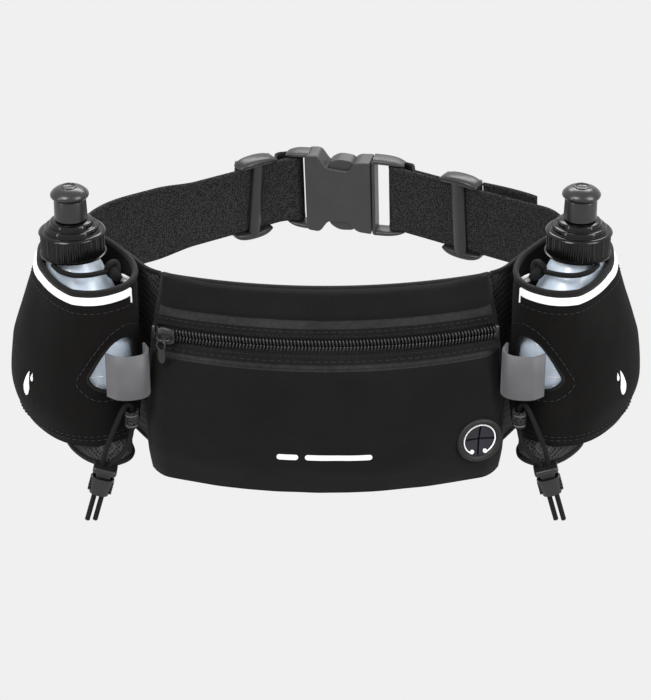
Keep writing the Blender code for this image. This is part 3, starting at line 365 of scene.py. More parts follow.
# Finishes: colour, roughness, threads per metre, depth of the weave, sheen, specular, contrast
PAINT = {
    "pouch_fabric": woven("pouch_cloth", (0.0058, 0.0058, 0.0060), 0.82, 900, 0.00016, 0.05),
    "hem_cloth": woven("hem_cloth", (0.0215, 0.0215, 0.0220), 0.85, 560, 0.00035, 0.05, 0.07, 0.5),
    "mesh_fabric": netting("spacer_mesh", (0.0140, 0.0140, 0.0145)),
    "neoprene": woven("sleeve_cloth", (0.0046, 0.0041, 0.0038), 0.88, 620, 0.00022, 0.03, 0.06),
    "binding": woven("binding_tape", (0.0050, 0.0050, 0.0052), 0.62, 520, 0.0003, 0.05, 0.13),
    "reflective": woven("reflective_tape", (0.86, 0.87, 0.88), 0.45, 1500, 0.00006, 0.0, 0.5, 0.04),
    "print": woven("white_print", (0.82, 0.82, 0.82), 0.6, 1500, 0.00003, 0.0, 0.4, 0.03),
    "grey_tape": satin("grey_satin_tape", (0.086, 0.084, 0.092)),
    "silver_tip": moulded("silver_tip", (0.55, 0.55, 0.55), 0.3, 0.00002),
    "webbing": elastic("elastic_webbing", (0.0033, 0.0033, 0.0034)),
    "selvedge": woven("webbing_selvedge", (0.0150, 0.0150, 0.0154), 0.7, 900, 0.0003, 0.0, 0.3),
    "cord": braided("elastic_cord", (0.0075, 0.0075, 0.0077)),
    "thread": woven("sewing_thread", (0.0100, 0.0100, 0.0104), 0.6, 1500, 0.0001, 0.0, 0.4),
    "buckle_plastic": moulded("buckle_plastic", (0.0290, 0.0293, 0.0300), 0.40),
    "slide_plastic": moulded("slide_plastic", (0.0150, 0.0151, 0.0155), 0.32),
    "lock_plastic": moulded("lock_plastic", (0.0095, 0.0096, 0.0100), 0.30),
    "zip_plastic": moulded("zip_nylon", (0.0090, 0.0090, 0.0092), 0.30, 0.00002),
    "zip_tape": woven("zip_tape_cloth", (0.0075, 0.0075, 0.0078), 0.85, 520, 0.0004, 0.0, 0.1, 0.5),
    "cap_plastic": moulded("cap_plastic", (0.0024, 0.0024, 0.0026), 0.15, 0.00002, 0.30, 0.05),
    "spout_plastic": moulded("spout_plastic", (0.0095, 0.0095, 0.0100), 0.27, 0.00002, 0.60),
    "bottle_plastic": milky("milky_plastic"),
    "rubber": rubbery("port_rubber", (0.0085, 0.0090, 0.0150)),
    "port_rim": rubbery("port_rim_rubber", (0.0055, 0.0055, 0.0058)),
    "spring_steel": steel("spring_steel"),
}


# ---------------------------------------------------------------- mesh helpers
def spread(low, high, count):
    """Evenly spaced values from low to high."""
    return [low + (high - low) * k / (count - 1) for k in range(count)]


def blend(low, high, value):
    """0 below low and 1 above high, with a smooth rise between them."""
    t = min(max((value - low) / (high - low), 0.0), 1.0)
    return t * t * (3 - 2 * t)


def circle(count):
    """Angles of points spaced evenly round a circle."""
    return [2 * math.pi * k / count for k in range(count)]


def polar(radius, angle, height=0.0):
    return Vector((radius * math.cos(angle), radius * math.sin(angle), height))


def squircle(half_width, half_depth, angle, height=0.0, power=2.3):
    """A point of an oval that is a little fuller than an ellipse."""
    c, s = math.cos(angle), math.sin(angle)
    return Vector((half_width * math.copysign(abs(c) ** (2 / power), c),
                   half_depth * math.copysign(abs(s) ** (2 / power), s), height))


def oval(half_width, half_depth, height, count=72, power=2.3):
    return [squircle(half_width, half_depth, angle, height, power) for angle in circle(count)]


def smooth_line(points, step):
    """Evenly spaced points on a smooth curve through the given ones."""
    points = [Vector(p) for p in points]
    line = []
    for i in range(len(points) - 1):
        before = points[max(i - 1, 0)]
        start, end = points[i], points[i + 1]
        after = points[min(i + 2, len(points) - 1)]
        count = max(2, round((end - start).length / step))
        for k in range(count):
            t = k / count
            line.append(0.5 * ((2 * start) + (end - before) * t
                               + (2 * before - 5 * start + 4 * end - after) * t ** 2
                               + (3 * start - before - 3 * end + after) * t ** 3))
    line.append(points[-1])
    return line


def add_mesh(name, verts, faces, paint, body, replaces=(), smooth=50):
    mesh = bpy.data.meshes.new(name)
    mesh.from_pydata([tuple(v) for v in verts], [], faces)
    mesh.validate()
    shape = bmesh.new()
    shape.from_mesh(mesh)
    bmesh.ops.recalc_face_normals(shape, faces=shape.faces)
    shape.to_mesh(mesh)
    shape.free()
    item = bpy.data.objects.new(name, mesh)
    bpy.context.scene.collection.objects.link(item)
    mesh.shade_smooth()
    mesh.set_sharp_from_angle(angle=math.radians(smooth))
    mesh.materials.append(PAINT[paint])
    if body:
        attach(item, body)
    if replaces:
        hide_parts(*replaces)
    return item


def loft_faces(rings, closed=False, base=0):
    """Faces between rings of equal length; the ends are capped unless the loft is closed."""
    size = len(rings[0])
    faces = []
    spans = len(rings) if closed else len(rings) - 1
    for i in range(spans):
        a, b = base + i * size, base + ((i + 1) % len(rings)) * size
        for k in range(size):
            n = (k + 1) % size
            faces.append((a + k, a + n, b + n, b + k))
    if not closed:
        faces.append(tuple(base + k for k in range(size))[::-1])
        faces.append(tuple(base + (len(rings) - 1) * size + k for k in range(size)))
    return faces


def loft(name, rings, paint, body, replaces=(), closed=False, smooth=50):
    verts = [p for ring in rings for p in ring]
    return add_mesh(name, verts, loft_faces(rings, closed), paint, body, replaces, smooth)


def many_lofts(name, lofts, paint, body, replaces=(), smooth=50):
    """Several separate lofts as one piece, such as stitches or teeth."""
    verts, faces = [], []
    for rings in lofts:
        faces += loft_faces(rings, False, len(verts))
        verts += [p for ring in rings for p in ring]
    return add_mesh(name, verts, faces, paint, body, replaces, smooth)


def tube_rings(points, radius, sides=10):
    """Rings of a round tube; radius is a number or a list with one value a point."""
    rings = []
    side_way = None
    for i, point in enumerate(points):
        along = (points[min(i + 1, len(points) - 1)] - points[max(i - 1, 0)]).normalized()
        if side_way is None:
            side_way = along.orthogonal().normalized()
        side_way = (side_way - along * side_way.dot(along)).normalized()
        other = along.cross(side_way)
        size = radius[i] if isinstance(radius, list) else radius
        rings.append([point + (side_way * math.cos(a) + other * math.sin(a)) * size
                      for a in circle(sides)])
    return rings


def turned(name, profile, paint, body, place, replaces=(), segments=64, closed=False,
           smooth=40, ripple=None):
    """A turned solid; ripple(radius, height, angle) may change the radius."""
    rings = [[place @ polar(ripple(radius, height, a) if ripple else radius, a, height)
              for a in circle(segments)] for radius, height in profile]
    return loft(name, rings, paint, body, replaces, closed, smooth)


def stitches(name, points, normals, paint, body, length=0.0022, gap=0.0010,
             radius=0.00022):
    """A row of sewn stitches along a line: short rounded threads that dip at their ends."""
    rows = []
    distance, last = 0.0, points[0]
    start = 0
    for i, point in enumerate(points[1:], 1):
        distance += (point - last).length
        last = point
        if distance >= length + gap:
            end = max(start + 1, i - max(1, round((i - start) * gap / (length + gap))))
            a, b = points[start], points[end]
            na, nb = normals[start], normals[end]
            line = [a - na * radius, a.lerp(b, 0.2) + na * radius * 0.7,
                    a.lerp(b, 0.5) + (na + nb) * radius * 0.5, a.lerp(b, 0.8) + nb * radius * 0.7,
                    b - nb * radius]
            rows.append(tube_rings(line, radius, 6))
            start, distance = i, 0.0
    return many_lofts(name, rows, paint, body)


# ---------------------------------------------------------------- belt line, as in the CAD
def rounded_corner(before, corner, after, radius):
    back = (before - corner).normalized()
    ahead = (after - corner).normalized()
    half = back.angle(ahead) / 2
    reach = radius / math.tan(half)
    middle = corner + (back + ahead).normalized() * (radius / math.sin(half))
    start = corner + back * reach - middle
    end = corner + ahead * reach - middle
    count = max(3, round(start.angle(end) * radius / PATH_STEP))
    return [middle + start.slerp(end, k / count).normalized() * radius for k in range(count + 1)]


def buckle_place():
    return (Matrix.Translation(BUCKLE_CENTRE) @ Matrix.Rotation(BUCKLE_TURN, 4, "Z")
            @ Matrix.Rotation(STRAP_LEAN, 4, "X"))


def make_belt_line(side):
    """The inner face of one half of the belt: length, point, outward normal and lean."""
    centre_y = FRONT_Y + FRONT_RADIUS
    slope = math.asin(ARC_HALF_WIDTH / FRONT_RADIUS)
    hip = Vector(HIP_CORNER)
    run = Vector((math.cos(HIP_SLOPE), math.sin(HIP_SLOPE)))
    strap_slope = STRAP_SLOPE[side]
    reach = ((STRAP_Y[side] - strap_slope * hip.x - hip.y) / (run.y + strap_slope * run.x))
    back = hip + run * reach
    place = buckle_place()
    bar_x = (SOCKET_END_X + 0.001) if side < 0 else (PLUG_END_X - 0.001)
    depth = -(BAR_THICKNESS / 2 + GAP + WEBBING_THICKNESS)
    bar = place @ Vector((bar_x, depth, 0))
    inner = place @ Vector((0, depth, 0))
    bar = Vector((bar.x * side, bar.y))
    inner = Vector((inner.x * side, inner.y))
    along = (inner - bar).normalized()
    step = ((STRAP_Y[side] - strap_slope * bar.x - bar.y) / (along.y + strap_slope * along.x))
    bend = bar + along * step
    plan = []
    count = round(ARC_HALF_WIDTH / PATH_STEP)
    for k in range(count + 1):
        angle = slope * k / count
        plan.append(Vector((FRONT_RADIUS * math.sin(angle),
                            centre_y - FRONT_RADIUS * math.cos(angle))))
    plan += rounded_corner(plan[-1], hip, back, HIP_RADIUS)
    lean_start = len(plan)
    plan += rounded_corner(hip, back, bend, BACK_RADIUS)
    lean_end = len(plan) - 1
    strap = bend - plan[-1]
    for k in range(1, 12):
        plan.append(plan[lean_end] + strap * (k / 12 * 0.9))
    plan += rounded_corner(back, bend, inner, BAR_RADIUS)
    plan.append(inner)
    line = []
    length = 0.0
    for i, point in enumerate(plan):
        if i:
            length += (point - plan[i - 1]).length
        ahead = plan[min(i + 1, len(plan) - 1)] - plan[max(i - 1, 0)]
        normal = Vector((ahead.y, -ahead.x)).normalized()
        lean = STRAP_LEAN * blend(lean_start, lean_end, i)
        line.append((length, Vector((point.x * side, point.y)),
                     Vector((normal.x * side, normal.y)), lean))
    return line


BELT = {side: make_belt_line(side) for side in SIDES}


def belt(side, s, out=0.0, z=0.0):
    """World point at a place on the belt; a negative s crosses to the other side."""
    if s < 0:
        side, s = -side, -s
    line = BELT[side]
    i = 1
    while i < len(line) - 1 and line[i][0] < s:
        i += 1
    low, high = line[i - 1], line[i]
    t = (s - low[0]) / (high[0] - low[0])
    point = low[1].lerp(high[1], t)
    normal = low[2].lerp(high[2], t).normalized()
    lean = low[3] + (high[3] - low[3]) * t
    away = Vector((normal.x * math.cos(lean), normal.y * math.cos(lean), math.sin(lean)))
    up = Vector((-normal.x * math.sin(lean), -normal.y * math.sin(lean), math.cos(lean)))
    return Vector((point.x, point.y, 0)) + away * out + up * z


def belt_away(side, s):
    """Direction out of the belt's outer face."""
    return (belt(side, s, 0.01) - belt(side, s)).normalized()


def fold_distance(side):
    end = -SOCKET_END_X if side < 0 else PLUG_END_X
    return end - BAR_WIDTH - 0.0008


def adjuster_s(side):
    """Distance along the belt at which the adjuster sits."""
    target = ADJUSTER_X[side]
    for low, high in zip(BELT[side], BELT[side][1:]):
        behind = low[1].y > 0 and high[1].y > 0
        if behind and (low[1].x - target) * (high[1].x - target) <= 0:
            return low[0] + (high[0] - low[0]) * (target - low[1].x) / (high[1].x - low[1].x)


def arc_point(angle, depth, z):
    reach = FRONT_RADIUS + depth
    return Vector((reach * math.sin(angle), FRONT_Y + FRONT_RADIUS - reach * math.cos(angle), z))


# ---------------------------------------------------------------- camera, light and background
CAMERA_DISTANCE = 1.015
CAMERA_ELEVATION = math.radians(25)
CAMERA_DIP = math.radians(2.42)      # the camera looks this much below the loop's middle
LENS_SHARE = 2.9857                  # focal length in picture heights
PALE = 0.871


def make_camera():
    data = bpy.data.cameras.new("camera")
    data.sensor_fit = "VERTICAL"
    data.sensor_height = 24.0
    data.lens = data.sensor_height * LENS_SHARE
    data.clip_start = 0.05
    camera = bpy.data.objects.new("camera", data)
    camera.location = (0, -CAMERA_DISTANCE * math.cos(CAMERA_ELEVATION),
                       CAMERA_DISTANCE * math.sin(CAMERA_ELEVATION))
    camera.rotation_euler = (math.pi / 2 - CAMERA_ELEVATION - CAMERA_DIP, 0, 0)
    bpy.context.scene.collection.objects.link(camera)
    bpy.context.scene.camera = camera


def area_light(name, place, target, size, power):
    data = bpy.data.lights.new(name, "AREA")
    data.shape = "RECTANGLE"
    data.size, data.size_y = size
    data.energy = power
    lamp = bpy.data.objects.new(name, data)
    lamp.location = place
    lamp.rotation_euler = (Vector(target) - Vector(place)).to_track_quat("-Z", "Y").to_euler()
    bpy.context.scene.collection.objects.link(lamp)


def make_light():
    world = bpy.data.worlds.new("world")
    world.use_nodes = True
    world.node_tree.nodes["Background"].inputs["Color"].default_value = (PALE, PALE, PALE, 1)
    world.node_tree.nodes["Background"].inputs["Strength"].default_value = 1.0
    bpy.context.scene.world = world
    bpy.context.scene.view_settings.view_transform = "Standard"
    area_light("key", (-0.55, -0.75, 0.95), (0, -0.05, 0), (0.5, 0.5), 9)
    area_light("fill", (0.75, -0.6, 0.6), (0, -0.05, 0), (0.5, 0.7), 6)
    area_light("back", (0.1, 0.7, 0.8), (0, 0.05, 0), (0.9, 0.3), 7)
    for side in SIDES:
        area_light(f"strip_{SIDES[side]}", (side * 0.75, -0.50, 0.35), (0, -0.05, 0), (0.03, 0.8), 1.6)


def make_floor():
    """Pale floor well below the pack, which hangs free."""
    half, depth = 30.0, -0.6
    mesh = bpy.data.meshes.new("floor")
    mesh.from_pydata([(-half, -half, depth), (half, -half, depth), (half, half, depth),
                      (-half, half, depth)], [], [(0, 1, 2, 3)])
    floor = bpy.data.objects.new("floor", mesh)
    bpy.context.scene.collection.objects.link(floor)
    paint = Paint("floor", (0, 0, 0), 1.0, 0.0)
    paint.shader.inputs["Emission Color"].default_value = (PALE, PALE, PALE, 1)
    paint.shader.inputs["Emission Strength"].default_value = 1.0
    mesh.materials.append(paint.material)


# ---------------------------------------------------------------- race number cords
def mirrored(points, side):
    return [Vector((side * x, y, z)) for x, y, z in points]


def toggle_place(side):
    x, y, z = TOGGLE_TOP
    return Matrix.Translation((side * x, y, z)) @ Matrix.Rotation(-side * TOGGLE_SWING, 4, "Y")


def flat_strip(line, low, high, thickness, edge=0.0003):
    """Rings of a strip that stands on edge along a line of plan points, with rounded edges."""
    rings = []
    for i, point in enumerate(line):
        along = (line[min(i + 1, len(line) - 1)] - line[max(i - 1, 0)]).normalized()
        away = Vector((-along.y, along.x, 0)) * thickness / 2
        shape = [(-1, low + edge), (-0.4, low), (0.4, low), (1, low + edge),
                 (1, high - edge), (0.4, high), (-0.4, high), (-1, high - edge)]
        rings.append([point + away * a + Vector((0, 0, z)) for a, z in shape])
    return rings


def rounded_block(low, high, radius, place, steps=3):
    """Rings of a box with rounded upright edges and softened ends, along z."""
    rings = []
    inset_levels = [(radius * 0.6, 0.0), (0.2 * radius, 0.15 * radius), (0.0, 0.6 * radius)]
    levels = [(low[2] + z, r) for r, z in inset_levels]
    levels += [(high[2] - z, r) for r, z in inset_levels[::-1]]
    for z, inset in levels:
        ring = []
        for cx, cy, start in ((1, 1, 0), (-1, 1, 90), (-1, -1, 180), (1, -1, 270)):
            for k in range(steps + 1):
                a = math.radians(start + 90 * k / steps)
                x = (high[0] if cx > 0 else low[0]) - cx * radius + (radius - inset) * math.cos(a)
                y = (high[1] if cy > 0 else low[1]) - cy * radius + (radius - inset) * math.sin(a)
                ring.append(place @ Vector((x, y, z)))
        rings.append(ring)
    return rings


def make_toggle(side, name):
    """Spring cord lock: a ribbed barrel with a flared button on top."""
    place = toggle_place(side)
    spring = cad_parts["toggle_spring_" + name]
    spring.data.materials.clear()
    spring.data.materials.append(PAINT["spring_steel"])
    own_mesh(spring)
    profile = [(0.0036, -0.0092), (0.0044, -0.0086), (0.0048, -0.0050), (0.0051, -0.0012),
               (0.0050, 0.0), (0.0042, 0.0), (0.0040, -0.0012), (0.0040, -0.0060)]
    rings = [[place @ p for p in (Vector((q.x, q.y, height)) for q in
                                  oval(radius, radius * 0.84, 0.0, 40, 2.8))]
             for radius, height in profile]
    body = loft("cord_lock_body_" + name, rings, "lock_plastic", "toggle_" + name,
                ("toggle_body_" + name,), smooth=35)
    wings = []
    for way in (-1, 1):
        for z in (-0.0072, -0.0056, -0.0040, -0.0024):
            low = (way * 0.0047 - 0.0007, -0.0026, z)
            high = (way * 0.0047 + 0.0007, 0.0026, z + 0.0008)
            wings.append(rounded_block(low, high, 0.0003, place, 2))
    many_lofts("cord_lock_grips_" + name, wings, "lock_plastic", "toggle_" + name)
    button = rounded_block((-0.0034, -0.0029, -0.0012), (0.0034, 0.0029, 0.0034), 0.0011, place, 4)
    head = rounded_block((-0.0054, -0.0044, 0.0026), (0.0054, 0.0044, 0.0054), 0.0014, place, 5)
    many_lofts("cord_lock_button_" + name, [button, head], "lock_plastic",
               "toggle_button_" + name, ("toggle_button_" + name,))
    return body


def make_bib_cord(side, name):
    line = smooth_line(mirrored(BIB_ROUTE, side), 0.0009)
    rings = tube_rings(line, CORD_RADIUS, 14)
    piece = loft("race_number_cord_" + name, rings, "cord", "bib_" + name,
                 ("bib_cord_" + name,))
    ends = []
    for first, second in ((line[0], line[1]), (line[-1], line[-2])):
        out = (first - second).normalized()
        ends.append(tube_rings([first + out * 0.00005, first + out * 0.0004],
                               CORD_RADIUS * 0.86, 14))
    tips = many_lofts("cord_cut_ends_" + name, ends, "silver_tip", "bib_" + name)
    tab_line = smooth_line(mirrored(BIB_TAB_ROUTE, side), 0.0005)
    loft("cord_tab_" + name, flat_strip(tab_line, *BIB_TAB_Z, 0.0011), "webbing", "pack",
         ("bib_tab_" + name,))
    seams = []
    for z in (-0.0280, -0.0230):
        outer = [p + Vector((0, -0.0008, z)) for p in tab_line if p.y < -0.1095]
        seams.append(tube_rings(outer, 0.00022, 6))
    many_lofts("cord_tab_seams_" + name, seams, "grey_tape", "pack")
    make_toggle(side, name)


# ---------------------------------------------------------------- pouch
POUCH_PROFILE = [(-0.0612, 0.0130, 0.90), (-0.0598, 0.0205, 0.96), (-0.0550, 0.0255, 1.0),
                 (-0.0430, 0.0290, 1.01), (-0.0250, 0.0305, 1.0), (-0.0100, 0.0295, 0.985),
                 (0.0030, 0.0262, 0.965), (0.0090, 0.0236, 0.955), (0.0200, 0.0190, 0.93),
                 (0.0250, 0.0160, 0.915), (0.0310, 0.0110, 0.90), (0.0345, 0.0075, 0.885)]
HEM_SEAM_Z = 0.0246              # the top panel ends here, over the hem of the zip
BAND_SEAM_Z = 0.0046             # and the lower panel begins here
TAPE_TOP_Z = 0.0192
TAPE_LOW_Z = 0.0098


def pouch_depth(z):
    for low, high in zip(POUCH_PROFILE, POUCH_PROFILE[1:]):
        if z <= high[0]:
            t = max(0.0, (z - low[0]) / (high[0] - low[0]))
            return low[1] + (high[1] - low[1]) * t, low[2] + (high[2] - low[2]) * t
    return POUCH_PROFILE[-1][1:]


def soft_depth(z):
    """The profile with its corners rounded, by averaging over a few millimetres."""
    window = 0.0028
    taken = [pouch_depth(min(max(z + window * k / 3, -0.0560), 0.0345)) for k in range(-3, 4)]
    return tuple(sum(v[i] for v in taken) / len(taken) for i in range(2))


def panel_step(z):
    """How far the cloth stands proud of the zip's level: two hems and two full panels."""
    hem = 0.0007 * blend(TAPE_TOP_Z - 0.0002, TAPE_TOP_Z + 0.0005, z)
    hem += 0.0016 * blend(HEM_SEAM_Z - 0.0002, HEM_SEAM_Z + 0.0022, z)
    band = 0.0007 * blend(-TAPE_LOW_Z - 0.0002, -TAPE_LOW_Z + 0.0005, -z)
    band += 0.0012 * blend(-BAND_SEAM_Z - 0.0002, -BAND_SEAM_Z + 0.0030, -z)
    groove = sum(0.0007 * max(0.0, 1 - abs(z - seam) / 0.0007)
                 for seam in (HEM_SEAM_Z - 0.0004, BAND_SEAM_Z + 0.0004))
    return hem + band - groove - 0.0015


def pouch_outline(z, count):
    """Half-rounded front outline at one height, with the stepped seams only on its front."""
    depth, share = soft_depth(z)
    half = POUCH_HALF * share
    round_off = min(0.011, (depth - POUCH_BACK) * 0.8)
    ring = [(u * (half - 0.001), POUCH_BACK) for u in spread(-1, 1, count)]
    for u in spread(1, -1, count):
        x = u * half
        edge = max(0.0, abs(x) - (half - round_off)) / round_off
        swell = 0.88 + 0.12 * (1 - u * u)
        full = POUCH_BACK + (depth - POUCH_BACK) * swell + panel_step(z) * (1 - edge)
        low = POUCH_BACK + 0.25 * (depth - POUCH_BACK)
        ring.append((x, low + (full - low) * math.sqrt(max(0.0, 1 - edge ** 2))))
    return [arc_point(x / (FRONT_RADIUS + d), d, z) for x, d in ring]


def pouch_levels():
    """Heights of the pouch's rings: close together at the seams, wider between them."""
    levels = [-0.0560, -0.0556, -0.0551, -0.0545, -0.0535, -0.0522]
    z = -0.0505
    while z < 0.0340:
        levels.append(z)
        near = min(abs(z - s) for s in (HEM_SEAM_Z, BAND_SEAM_Z, TAPE_TOP_Z, TAPE_LOW_Z))
        z += 0.0003 if near < 0.0012 else 0.0016
    return levels + [0.0345]


def crease(p):
    """Moves a point of the pouch's front by the cloth's soft waves."""
    radial = Vector((p.x, p.y - FRONT_Y - FRONT_RADIUS, 0)).normalized()
    far = blend(0.0, 0.012, abs(p.z - ZIP_Z) - 0.006)
    wave = 0.0010 * noise.noise(Vector((p.x * 22, p.z * 40, 3.1)))
    wave += 0.00035 * noise.noise(Vector((p.x * 90, p.z * 130, 8.7)))
    return p + radial * far * wave


def make_pouch():
    count = 79
    levels = pouch_levels()
    verts, faces = [], []
    for z in levels:
        for k, p in enumerate(pouch_outline(z, count)):
            if k >= count:
                p = crease(p)
            puff = blend(0.026, 0.0345, z) * blend(0.050, 0.073, abs(p.x))
            verts.append(p + Vector((0, 0, 0.0022 * puff)))
    size = 2 * count
    for i in range(len(levels) - 1):
        for k in range(size):
            n = (k + 1) % size
            faces.append((i * size + k, i * size + n, (i + 1) * size + n, (i + 1) * size + k))
    for base in (0, (len(levels) - 1) * size):
        for k in range(count - 1):
            faces.append((base + k, base + k + 1, base + size - 2 - k, base + size - 1 - k))
    pouch = add_mesh("pouch_shell", verts, faces, "pouch_fabric", "pack",
                     ("pouch_body",), 70)
    pouch.data.materials.append(PAINT["hem_cloth"])
    pouch.data.materials.append(PAINT["zip_tape"])
    for face in pouch.data.polygons:
        front = face.normal.y < -0.3
        if front and TAPE_LOW_Z < face.center.z < TAPE_TOP_Z:
            face.material_index = 2
        elif front and BAND_SEAM_Z < face.center.z < HEM_SEAM_Z:
            face.material_index = 1
    hole = turned("port_cutter", [(PORT_RADIUS - 0.0025, -0.0022), (PORT_RADIUS - 0.0025, 0.01)],
                  "pouch_fabric", None, port_place(), segments=40)
    cut(pouch, hole)


def cut(item, tool):
    """Cuts one piece with another and applies the cut, so that the tool can go."""
    mod = item.modifiers.new("cut", "BOOLEAN")
    mod.object = tool
    mod.solver = "EXACT"
    bpy.context.view_layer.update()
    shown = item.evaluated_get(bpy.context.evaluated_depsgraph_get())
    mesh = bpy.data.meshes.new_from_object(shown)
    item.modifiers.remove(mod)
    item.data = mesh
    bpy.data.objects.remove(tool)


def skin(angle, z, out=0.0):
    """A point on the middle part of the pouch's front, out from its cloth."""
    depth = soft_depth(z)[0]
    half = POUCH_HALF * soft_depth(z)[1]
    u = (FRONT_RADIUS + depth) * math.sin(angle) / half
    swell = 0.88 + 0.12 * max(0.0, 1 - u * u)
    full = POUCH_BACK + (depth - POUCH_BACK) * swell + panel_step(z)
    return crease(arc_point(angle, full + out, z))


def skin_patch(angle, low, high):
    """Section of a thin strip that lies on the pouch's front between two heights."""
    return [skin(angle, z, out) for z, out in
            ((low, 0.0001), (low, 0.0004), (high, 0.0004), (high, 0.0001))]


def skin_stitches(name, z, out, length, gap, radius):
    """A row of stitches along the zip at one height."""
    angles = spread(-ZIP_REACH, ZIP_REACH, 420)
    normals = [Vector((math.sin(a), -math.cos(a), 0)) for a in angles]
    stitches(name, [skin(a, z, out) for a in angles], normals, "thread", "pack", length,
             gap, radius)


def make_pouch_seams():
    """Rows of stitches along the hems that hold the zip."""
    for name, z in (("upper", TAPE_TOP_Z + 0.0012), ("lower", TAPE_LOW_Z - 0.0012)):
        skin_stitches("pouch_stitches_" + name, z, 0.0001, 0.0020, 0.0010, 0.00016)


# ---------------------------------------------------------------- zip
def zip_depth(z):
    return pouch_depth(z)[0] * 0.94 - 0.0012


def make_zip():
    radius = FRONT_RADIUS + zip_depth(ZIP_Z)
    turns = round(2 * ZIP_REACH * radius / COIL_PITCH)
    per_turn = 12
    for name, way in (("upper", 1), ("lower", -1)):
        line = []
        for k in range(turns * per_turn + 1):
            turn = 2 * math.pi * k / per_turn
            angle = -ZIP_REACH + 2 * ZIP_REACH * k / (turns * per_turn)
            z = ZIP_Z + way * (COIL_RADIUS - 0.0002 + 0.00145 * math.cos(turn))
            depth = zip_depth(ZIP_Z) + 0.0008 + 0.00095 * math.sin(turn)
            line.append(arc_point(angle, depth, z))
        piece = loft("zip_teeth_" + name, tube_rings(line, 0.00034, 6), "zip_plastic", "pack",
                     ("zip_coil_" + name,), smooth=60)
        core = [arc_point(a, zip_depth(ZIP_Z) + 0.0005, ZIP_Z + way * COIL_RADIUS)
                for a in spread(-ZIP_REACH, ZIP_REACH, 60)]
        loft("zip_core_" + name, tube_rings(core, 0.0008, 8), "zip_tape", "pack")
        rings = [skin_patch(angle, ZIP_Z + way * 0.0030, ZIP_Z + way * 0.0070)
                 for angle in spread(-ZIP_REACH - 0.008, ZIP_REACH + 0.008, 90)]
        loft("zip_ribbon_" + name, rings, "zip_tape", "pack", ("zip_tape_" + name,))
        skin_stitches("zip_chain_seam_" + name, ZIP_Z + way * 0.0040, 0.0004,
                      0.0012, 0.0005, 0.00013)


def zip_place(angle):
    depth = zip_depth(ZIP_Z)
    return (Matrix.Translation(arc_point(angle, depth, ZIP_Z))
            @ Matrix.Rotation(angle + math.pi, 4, "Z"))


def make_slider():
    """A shaped plate with an arched bridge, and a slim pull on it."""
    place = zip_place(ZIP_START_ANGLE)
    plates = []
    low, high = 0.0024, 0.0034
    section = ((low, 1.0), (high - 0.0003, 1.0), (high, 0.90), (high, -0.90),
               (high - 0.0003, -1.0), (low, -1.0))
    plates.append([[place @ Vector((x, y, tall * share)) for y, share in section]
                   for x, tall in ((-0.0042, 0.0022), (-0.0036, 0.0030), (-0.0018, 0.0038),
                                   (0.0012, 0.0040), (0.0030, 0.0037), (0.0040, 0.0030),
                                   (0.0043, 0.0022))])
    arch = [Vector((x, y, 0)) for x, y in
            ((-0.0032, 0.0030), (-0.0030, 0.0058), (-0.0018, 0.0074), (0.0, 0.0078),
             (0.0018, 0.0074), (0.0030, 0.0058), (0.0032, 0.0030))]
    plates.append(tube_rings([place @ p for p in smooth_line(arch, 0.0005)], 0.00055, 8))
    many_lofts("zip_slider_body", plates, "zip_plastic", "slider", ("zip_slider",))
    hinge = place @ Matrix.Translation((0, 0.0086, 0))
    loop = []
    for k in range(41):
        a = 2 * math.pi * k / 40
        loop.append(hinge @ Vector((0.0019 * math.cos(a), 0, -0.0018 + 0.0024 * math.sin(a))))
    tail = []
    for z, half, deep in ((-0.0038, 0.0011, 0.00045), (-0.0046, 0.0017, 0.0006),
                          (-0.0062, 0.0020, 0.00075), (-0.0085, 0.0019, 0.0007),
                          (-0.0099, 0.0014, 0.0005), (-0.0104, 0.0006, 0.0003)):
        tail.append([hinge @ Vector((half * math.cos(a), deep * math.sin(a), z))
                     for a in circle(20)])
    many_lofts("zip_pull_body", [tube_rings(loop, 0.0005, 8), tail], "zip_plastic", "pull",
               ("zip_pull",))
    for way, name in ((-1, "left"), (1, "right")):
        stop = zip_place(way * (ZIP_HALF_ANGLE - 0.011))
        loft("zip_end_" + name, rounded_block((-0.0009, -0.0010, -0.0030), (0.0009, 0.0018, 0.0030),
                                              0.0004, stop), "zip_plastic", "pack",
             ("zip_stop_" + name,))


# ---------------------------------------------------------------- earphone port
def port_place():
    depth = pouch_depth(PORT_Z)[0]
    point = arc_point(PORT_ANGLE, depth * 0.917, PORT_Z)
    return (Matrix.Translation(point) @ Matrix.Rotation(PORT_ANGLE, 4, "Z")
            @ Matrix.Rotation(math.radians(4), 4, "Y") @ Matrix.Rotation(math.pi / 2, 4, "X"))


